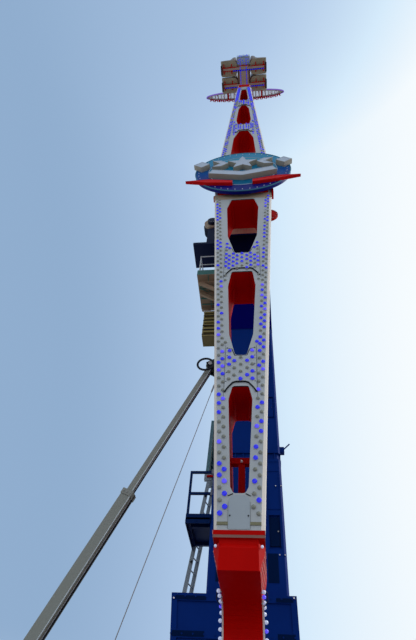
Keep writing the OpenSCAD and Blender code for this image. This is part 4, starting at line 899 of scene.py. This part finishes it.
globe, small_globe, blue_globe = bulb(0.031), bulb(0.022), bulb(0.031, 6)
for which in ("upper", "lower"):
    ends = bmesh.new()
    # lip plate, its bolts and the pale edges of the flange
    box_shape(ends, (-block_half - 0.002, arm_front + 0.002, 12.999),
              (block_half + 0.002, arm_front + 1.078, 13.046), 2)
    for x in (-0.35, 0.35):
        for y in (0.72, 0.84, 0.96):
            round_bar(ends, (x, arm_front + y, 12.936), (x, arm_front + y, 12.91), 0.024, 6, 5)
    for side in (-1, 1):
        x = side * block_half
        box_shape(ends, (x - 0.004, arm_front, 12.938), (x + 0.006, arm_front + 0.03, 12.998), 4)
        # cheek of the end block: a facet from its front face out to the full width, then straight back
        cheek = bmesh.new()
        outer_rows = []
        for k in range(9):
            s = 13.123 + 0.0465 * k
            edge = cheek_half(s)
            outer_rows.append([cheek.verts.new((side * x, arm_front + y, s)) for x, y in (
                (0.284, 0.003), (edge, 0.003 + (edge - 0.284) * 1.5), (edge, 1.04), (0.284, 1.04))])
        for lower_row, upper_row in zip(outer_rows, outer_rows[1:]):
            for k in range(3):
                cheek.faces.new((lower_row[k], lower_row[k + 1], upper_row[k + 1], upper_row[k]))
        cheek.faces.new(outer_rows[0])
        cheek.faces.new(outer_rows[-1])
        join(ends, cheek, 5)
        # pale slanting lines across the sides of the end block
        for i in range(8):
            line = []
            for k in range(11):
                y = 0.05 + 0.1 * k
                s = 13.62 - 0.07 * i - 0.14 * y
                if 13.13 < s < 13.49:
                    line.append((side * (cheek_half(s) + 0.002), arm_front + max(y, 0.15), s))
            if len(line) > 1:
                tube(ends, line, 0.008, paint=4, sides=1)
        # small bulb on each front corner, and bulbs that stand out from the neck's edges
        stamp(ends, small_globe, Matrix.Translation((side * 0.335, arm_front + 0.03, 13.17)))
        turn = Matrix.Rotation(side * math.pi / 2, 4, "Z")
        path = [(0.68, 13.49), (0.87, 13.49)]
        path += [(neck_front(13.5 + 0.45 * (1 - math.cos(a))), 13.5 + 0.45 * (1 - math.cos(a)))
                 for a in (0.12, 0.38, 0.64, 0.9, 1.16, 1.42)]
        path += [(1.45, 14.05 + 0.12 * i) for i in range(15)]
        for i, (y, s) in enumerate(path):
            out = 0.295 if s < 13.6 else 0.315
            lit_globe = i % 5 == 2 + side
            place = Matrix.Translation((side * out, arm_front + y + 0.07, s)) @ turn
            stamp(ends, blue_globe if lit_globe else globe, place)
        # cable that loops from the end block into the neck
        loop = ((0.33, 0.9, 13.4), (0.385, 0.98, 13.42), (0.39, 1.06, 13.5), (0.33, 1.12, 13.56))
        tube(ends, [(side * x, arm_front + y, s) for x, y, s in loop], 0.007, paint=3)
        # plates beside the axle's rear bearing
        x = side * 0.3
        for s in (14.2, 15.7):
            box_shape(ends, (x - 0.01, arm_front + 1.5, s), (x + 0.012, arm_front + 2.1, s + 0.06), 5)
    # grease cap of the bearing with its bolts
    stud(ends, 0, axle_s, arm_front + 2.14, arm_front + 2.2, 0.2, 32, 5)
    bolt_ring(ends, 0, axle_s, 0.15, 8, arm_front + 2.19, arm_front + 2.215, 0.018, 6, 3)
    piece(f"end_fittings_{which}", ends, "arm",
          [lamp_ring, bulb_glass, lip_brown, black, pink, red, lit_violet], on_arm(which))

    # pale slats across the hoop
    hoop = bmesh.new()
    for i in range(79):
        x = -2.355 + i * 0.06
        depth = 0.2 * math.sqrt(1 - ((x + 0.015) / 2.4) ** 2)
        box_shape(hoop, (x, hoop_y - depth, axle_s + 0.392), (x + 0.03, hoop_y + depth, axle_s + 0.398), 2)
    # red stays under the slats
    stay_s = axle_s + 0.384
    for i in range(12):
        x = -2.15 + i * 0.374
        depth = 0.2 * math.sqrt(1 - (x / 2.4) ** 2)
        round_bar(hoop, (x, hoop_y - depth, stay_s), (x + 0.09, hoop_y + depth, stay_s), 0.011, 6)
    # two lit tubes round the rim
    for dz in (-0.07, 0.07):
        rim = [((hoop_long + 0.002) * math.cos(math.radians(5 * i)),
                hoop_y + (hoop_wide + 0.002) * math.sin(math.radians(5 * i)), axle_s + 0.41 + dz)
               for i in range(72)]
        tube(hoop, rim, 0.02, closed=True, paint=1)
    # toothed edge, wavy red tube and crossbars under the hoop
    for side in (-1, 1):
        for i in range(14):
            x = 0.36 + i * 0.135
            back = hoop_y + hoop_wide * math.sqrt(1 - ((x + 0.07) / hoop_long) ** 2)
            corners = ((x, back - 0.02), (x + 0.135, back - 0.035), (x + 0.068, back + 0.13))
            plate(hoop, [(side * px, py, axle_s + 0.31) for px, py in corners], (0, 0, 0.04))
        wave = []
        for i in range(14):
            x = 0.3 + 0.15 * i
            back = hoop_y + hoop_wide * math.sqrt(1 - (x / hoop_long) ** 2)
            wave.append((side * x, back + 0.1 * (i % 2), axle_s + 0.3))
        tube(hoop, wave, 0.02)
        x = side * 1.05
        box_shape(hoop, (x - 0.045, arm_front + 0.86, axle_s + 0.28),
                  (x + 0.045, arm_front + 1.34, axle_s + 0.34))
    piece(f"hoop_lights_{which}", hoop, "arm", [red, violet_rim, hoop_pale], on_arm(which))


# Hub: a welded red box on a bolted flange. Side plates wrap the arm's edges, small lugs are welded to
# them, and a row of bolts runs down each side of the front.
hub = bmesh.new()
bolt_ring(hub, 0, hub_height, 0.87, 30, -2.585, -2.62, 0.022)
for x0, x1, z0, z1, y in (
        (0.97, 1.03, -1.5, -0.5, -3.9), (-1.03, -0.97, 0.5, 1.5, -3.9),
        (-1.0, -0.955, -1.48, -1.32, -3.8), (0.955, 1.0, 1.32, 1.48, -3.8)):
    box_shape(hub, (x0, y, hub_height + z0), (x1, -3.64, hub_height + z1), 1)
for x in (-0.78, 0.78):
    for i in range(8):
        z = hub_height - 1.35 + i * 0.385
        stud(hub, x, z, -3.908, -3.925, 0.02)
piece("hub_fittings", hub, "arm", [steel, red])


# Sign: a round blue plate of moulded plastic, teal at the top, with a rolled rim and a pale ring, and
# on it raised white blocks with buff sides and one pair of red darts.
ring_radius = 1.22


def sign_paint():
    """Blue plastic, teal at the top and deep blue below, with a lighter field inside its ring."""
    material, tree = blank_material("sign_blue")
    where = add_node(tree, "TexCoord")
    centred = add_node(tree, "Mapping", {
        "Vector": where.outputs["Object"], "Location": (0, 0, -hub_height), "Scale": (1, 0, 1)})
    part = add_node(tree, "SeparateXYZ", {0: centred.outputs[0]})
    clouds = add_node(tree, "TexNoise", {
        "Vector": where.outputs["Object"], "Scale": 1.5, "Detail": 4.0, "Distortion": 0.6})
    waver = add_node(tree, "Math", {
        0: clouds.outputs[0], 1: 0.9, 2: -0.45}, operation="MULTIPLY_ADD")
    height = add_node(tree, "Math", {0: part.outputs["Z"], 1: waver.outputs[0]}, operation="ADD")
    share = add_node(tree, "MapRange", {
        "Value": height.outputs[0], "From Min": -0.9, "From Max": 0.7})
    ramp = add_node(tree, "ValToRGB", {0: share.outputs[0]})
    ramp.color_ramp.elements[0].color = (0.003, 0.008, 0.17, 1)
    ramp.color_ramp.elements[1].color = (0.02, 0.22, 0.4, 1)
    middle = ramp.color_ramp.elements.new(0.5)
    middle.color = (0.005, 0.08, 0.33, 1)
    reach = add_node(tree, "VectorMath", {0: centred.outputs[0]}, operation="LENGTH")
    inside = add_node(tree, "Math", {
        0: reach.outputs["Value"], 1: ring_radius}, operation="LESS_THAN")
    less = add_node(tree, "Math", {0: inside.outputs[0], 1: 0.4}, operation="MULTIPLY")
    field = mixed(tree, less.outputs[0], ramp.outputs[0], (0.008, 0.34, 0.46, 1))
    peel = add_node(tree, "TexNoise", {"Vector": where.outputs["Object"], "Scale": 30.0})
    bump = add_node(tree, "Bump", {"Height": peel.outputs[0], "Strength": 0.08, "Distance": 0.004})
    shader = add_node(tree, "BsdfPrincipled", {
        "Base Color": field, "Roughness": 0.35, "Normal": bump.outputs[0],
        "Specular IOR Level": 0.08})
    add_node(tree, "OutputMaterial", {"Surface": shader.outputs[0]})
    return material


dress(sign_paint(), "sign_disc")
block_white = painted("block_white", (0.46, 0.54, 0.66), (0.36, 0.42, 0.5), size=2)
block_side = painted("block_side", (0.4, 0.38, 0.32), (0.26, 0.23, 0.19), size=2)
sign_red = painted("sign_red", (0.62, 0.006, 0.008), (0.4, 0.003, 0.005), size=2, specular=0.05)
sign_rim = painted("sign_rim", (0.05, 0.2, 0.3), (0.03, 0.12, 0.2), size=3)
sign_radius, sign_front = 1.7, arm_front - 0.24
star = [(r * math.cos(math.radians(a)), 0.2 + r * math.sin(math.radians(a)))
        for a, r in ((90 + 36 * i, 0.14 if i % 2 else 0.33) for i in range(10))]
chevron = [(0.3, 0.2), (0.46, 0.36), (0.64, 0.36), (0.48, 0.2), (0.64, 0.04), (0.46, 0.04)]
diamond = [(0.7, 0.2), (0.87, 0.36), (1.04, 0.2), (0.87, 0.04)]
wing = [(0, -0.3), (0.62, -0.12), (0.7, -0.3), (0, -0.5), (-0.7, -0.3), (-0.62, -0.12)]
dart = [(0.2, -0.62), (0.66, -0.5), (1.16, -0.52), (0.7, -0.66), (0.2, -0.74)]


def raised_block(mesh, outline, depth, face_paint, side_paint):
    """A moulded block on the sign: rounded front edges, and a shallow tray let into its front."""
    block = bmesh.new()
    flat_face(block, [(sign_radius * x, hub_height + sign_radius * z) for x, z in outline], sign_front)
    thicken(block, (0, -depth, 0))
    bmesh.ops.recalc_face_normals(block, faces=block.faces)
    front = [f for f in block.faces if f.normal.y < -0.9]
    for face in block.faces:
        face.material_index = side_paint
    edges = {e for f in front for e in f.edges}
    bmesh.ops.bevel(block, geom=list(edges), offset=0.014, segments=2, profile=0.5, affect="EDGES",
                    material=-1)
    front = [f for f in block.faces if f.normal.y < -0.98]
    bmesh.ops.inset_region(block, faces=front, thickness=0.022, use_even_offset=True)
    bmesh.ops.inset_region(block, faces=front, thickness=0.006, depth=-0.008, use_even_offset=True)
    for face in block.faces:
        if face.normal.y < -0.5:
            face.material_index = face_paint
    join(mesh, block)


blocks = bmesh.new()
raised_block(blocks, star, 0.19, 0, 1)
raised_block(blocks, wing, 0.19, 0, 1)
for side in (-1, 1):
    for outline in (chevron, diamond):
        raised_block(blocks, [(side * x, z) for x, z in outline], 0.19, 0, 1)
    raised_block(blocks, [(side * x, z) for x, z in dart], 0.114, 2, 2)
sign_blocks = piece("sign_motifs", blocks, "arm", [block_white, block_side, sign_red])
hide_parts("sign_blocks")

trim = bmesh.new()
circle = [(math.cos(math.radians(5 * i)), math.sin(math.radians(5 * i))) for i in range(72)]
for reach, y, thick, paint in ((1.695, sign_front + 0.005, 0.02, 0), (ring_radius, sign_front, 0.012, 1)):
    path = [(reach * x, y, hub_height + reach * z) for x, z in circle]
    tube(trim, path, thick, closed=True, paint=paint)
# small bulbs inside the rim
bolt_ring(trim, 0, hub_height, 1.58, 40, sign_front + 0.004, sign_front - 0.014, 0.02, 8, 2, 0.012)
piece("sign_trim", trim, "arm", [sign_rim, block_white, lamp_white])


# Gondolas: a beam on the axle, buff underneath with two lines of lamps, a lit cap in front, and cross
# bars with lamps and toothed red brackets under the seats.
beam_paint = painted("beam_paint", (0.4, 0.01, 0.01), (0.2, 0.004, 0.006), size=2,
                     other=(0.42, 0.35, 0.3), pick=(0, 0, -1))
plate_blue = painted("plate_blue", (0.4, 0.52, 0.72), (0.3, 0.38, 0.55), size=3)
cap_plastic = glass("cap_plastic", (0.3, 0.42, 0.58), (0.1, 0.15, 0.4), 0.05)
beam_half = 0.39


def hanging_lamp(mesh, x, y, top, bottom, radius, end_radius):
    """Adds a blue lamp that looks down, at a distance from the arm's front."""
    round_bar(mesh, (x, arm_front + y, top), (x, arm_front + y, bottom), radius, 8, 1, end_radius)


for which, up in (("upper", 1), ("lower", -1)):
    body = f"gondola_{which}"
    axle_z = hub_height + up * axle_s
    dress(beam_paint, f"gondola_{which}_frame")
    dress(cap_plastic, f"gondola_{which}_cap")
    under = bmesh.new()
    for x in (-0.2, 0.16):
        for i in range(18):
            y = -1.04 + i * 0.1
            z = axle_z - (0.56 if -0.72 < y < 0.42 else 0.23)
            hanging_lamp(under, x, y, z + 0.004, z - 0.02, 0.036, 0.026)
    # pale blue plate under the beam's front end, with a few lamps
    box_shape(under, (-beam_half, arm_front - 1.1, axle_z - 0.237),
              (beam_half, arm_front - 0.74, axle_z - 0.225), 4)
    for x, y in ((-0.3, -1.0), (-0.05, -0.96), (0.28, -1.02), (0.3, -0.86), (-0.32, -0.84), (0.02, -0.83)):
        hanging_lamp(under, x, y, axle_z - 0.235, axle_z - 0.255, 0.03, 0.02)
    # lamps behind the two cross bars, on dark carriers
    for y, first, last in ((-0.51, -0.65, 1.2), (0.405, -1.2, -0.34), (0.405, 0.34, 1.2)):
        box_shape(under, (first, arm_front + y - 0.03, axle_z - 0.58),
                  (last, arm_front + y + 0.03, axle_z - 0.55), 2)
        for i in range(round((last - first) / spacing)):
            x = first + 0.06 + i * spacing
            hanging_lamp(under, x, y, axle_z - 0.578, axle_z - 0.6, 0.035, 0.024)
    # toothed brackets along the bars, short outriggers below each shell and their end plates
    for y in (-0.605, 0.305):
        for side in (-1, 1):
            for i in range(7):
                x = 0.45 + i * 0.12
                for back in (-1, 1):
                    corners = ((x, 0.06), (x + 0.12, 0.06), (x + 0.06, 0.15))
                    plate(under, [(side * px, arm_front + y + back * py, axle_z - 0.56)
                                  for px, py in corners], (0, 0, 0.04))
            for x in (0.72, 1.18):
                box_shape(under, (side * x - 0.025, arm_front + y - 0.27, axle_z - 0.475),
                          (side * x + 0.025, arm_front + y + 0.27, axle_z - 0.425))
            round_bar(under, (side * 1.23, arm_front + y, axle_z - 0.5),
                      (side * 1.34, arm_front + y, axle_z - 0.5), 0.05)
    # lamps on the cap and bolts on the axle's housing
    for x, z in ((-0.2, 0.1), (0.0, 0.13), (0.2, 0.1), (-0.24, -0.08), (0.24, -0.08),
                 (-0.09, -0.13), (0.09, -0.13)):
        stud(under, x, axle_z + z, arm_front - 1.165, arm_front - 1.2, 0.035, 10, 1, 0.024)
    bolt_ring(under, 0, axle_z, 0.2, 8, arm_front + 1.37, arm_front + 1.392, 0.016, 6, 3)
    piece(f"gondola_fittings_{which}", under, body, [red, lit_blue, dark_navy, steel, plate_blue])


# Seats: two glass-fibre buckets on each side of the beam, facing outwards, with moulded pads, a head
# pad, shoulder bars in sleeves and a foot rest on two tubes.
shell_paint = painted("shell_plastic", (0.2, 0.15, 0.11), (0.1, 0.07, 0.05), rough=0.3, size=3,
                      specular=0.1, other=(0.36, 0.33, 0.24), pick=(0, 0, -1))
bar_grey = painted("bar_grey", (0.1, 0.09, 0.09), (0.05, 0.04, 0.04), rough=0.35, size=6, specular=0.3)
foot_plate = painted("foot_plate", (0.06, 0.03, 0.03), (0.03, 0.02, 0.02), size=6)
pad_vinyl = painted("pad_vinyl", (0.02, 0.022, 0.026), (0.05, 0.05, 0.055), rough=0.45, size=9,
                    specular=0.25)


def on_seat(seat, dx, dy, dz):
    """A point measured outwards from the seat's back, along the beam and up from the axle."""
    side, middle, axle = seat
    return (side * (beam_half + dx), middle + dy, axle + dz)


def corners_on_seat(seat, a, b):
    """Low and high corner of the box between two points of a seat."""
    pairs = list(zip(on_seat(seat, *a), on_seat(seat, *b)))
    return tuple(min(pair) for pair in pairs), tuple(max(pair) for pair in pairs)


def pad_shape(mesh, seat, a, b, crown):
    """A crowned pad between two points of a seat, full in the middle and drawn in at its seams."""
    pad = bmesh.new()
    low, high = (Vector(corner) for corner in corners_on_seat(seat, a, b))
    centre, half = (low + high) / 2, (high - low) / 2
    bmesh.ops.create_cube(pad, size=2)
    bmesh.ops.subdivide_edges(pad, edges=pad.edges[:], cuts=7, use_grid_fill=True)
    for vertex in pad.verts:
        x, y, z = vertex.co
        swell = 1 + crown * (1 - y * y) * (1 - z * z) if abs(x) > 0.99 else 1.0
        pull_y = 1 - 0.05 * (1 - z * z)
        pull_z = 1 - 0.05 * (1 - y * y)
        vertex.co = (x * swell, y * pull_y, z * pull_z)
    bmesh.ops.scale(pad, vec=half, verts=pad.verts)
    bmesh.ops.translate(pad, vec=centre, verts=pad.verts)
    bmesh.ops.smooth_vert(pad, verts=pad.verts, factor=0.5, use_axis_x=True, use_axis_y=True,
                          use_axis_z=True)
    join(mesh, pad)


seat_start, seat_step, seat_long = -1.03, 0.91, 0.85
for which, up in (("upper", 1), ("lower", -1)):
    body = f"gondola_{which}"
    axle_z = hub_height + up * axle_s
    for side, side_name in ((-1, "left"), (1, "right")):
        node = f"gondola_{which}_seats_{side_name}"
        # shells: the plain buckets with every edge rounded, most of all at the back corners
        shells = bmesh.new()
        shells.from_mesh(nodes[node].data)
        bmesh.ops.remove_doubles(shells, verts=shells.verts, dist=0.0005)
        bmesh.ops.dissolve_limit(shells, angle_limit=math.radians(1), verts=shells.verts,
                                 edges=shells.edges)
        back_edges = [e for e in shells.edges if all(abs(abs(v.co.x) - beam_half) < 0.002 for v in e.verts)
                      and abs(e.verts[0].co.z - e.verts[1].co.z) > 0.5]
        bmesh.ops.bevel(shells, geom=back_edges, offset=0.27, segments=8, profile=0.5, affect="EDGES",
                        material=-1)
        sharp = [e for e in shells.edges
                 if len(e.link_faces) == 2 and e.calc_face_angle() > math.radians(35)]
        bmesh.ops.bevel(shells, geom=sharp, offset=0.016, segments=2, profile=0.5, affect="EDGES",
                        material=-1, clamp_overlap=True)
        shell = piece(f"seat_shells_{which}_{side_name}", shells, body, [shell_paint])
        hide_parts(node)

        pads = bmesh.new()
        frames = bmesh.new()
        for i in (0, 1):
            seat = (side, arm_front + seat_start + i * seat_step + seat_long / 2, axle_z)
            pad_shape(pads, seat, (0.115, -0.3, -0.22), (0.205, 0.3, 0.36), 0.25)
            pad_shape(pads, seat, (0.25, -0.32, -0.352), (0.72, 0.32, -0.27), 0.0)
            pad_shape(pads, seat, (0.095, -0.16, 0.4), (0.18, 0.16, 0.56), 0.3)
            for dy in (-0.17, 0.17):
                path = [on_seat(seat, *point) for point in (
                    (0.04, dy, 0.5), (0.05, dy, 0.62), (0.16, dy, 0.68), (0.3, dy, 0.62),
                    (0.4, dy, 0.4), (0.45, dy, 0.15), (0.47, dy * 0.8, -0.05))]
                tube(frames, path, 0.022, sides=3)
                tube(frames, path[2:6], 0.045, paint=1, sides=4)
            grip = [on_seat(seat, 0.47, dy, -0.05) for dy in (-0.14, 0.14)]
            tube(frames, grip, 0.03, paint=1, sides=3)
            for dy in (-0.24, 0.24):
                leg = [on_seat(seat, dx, dy, dz) for dx, dz in ((0.88, -0.4), (0.93, -0.62), (0.92, -0.72))]
                tube(frames, leg, 0.018, sides=3)
            box_shape(frames, *corners_on_seat(seat, (0.86, -0.26, -0.735), (0.97, 0.26, -0.72)), 2)
        pad_piece = piece(f"seat_pads_{which}_{side_name}", pads, body, [pad_vinyl], sharp=60)
        piece(f"seat_bars_{which}_{side_name}", frames, body, [bar_grey, pad_vinyl, foot_plate])
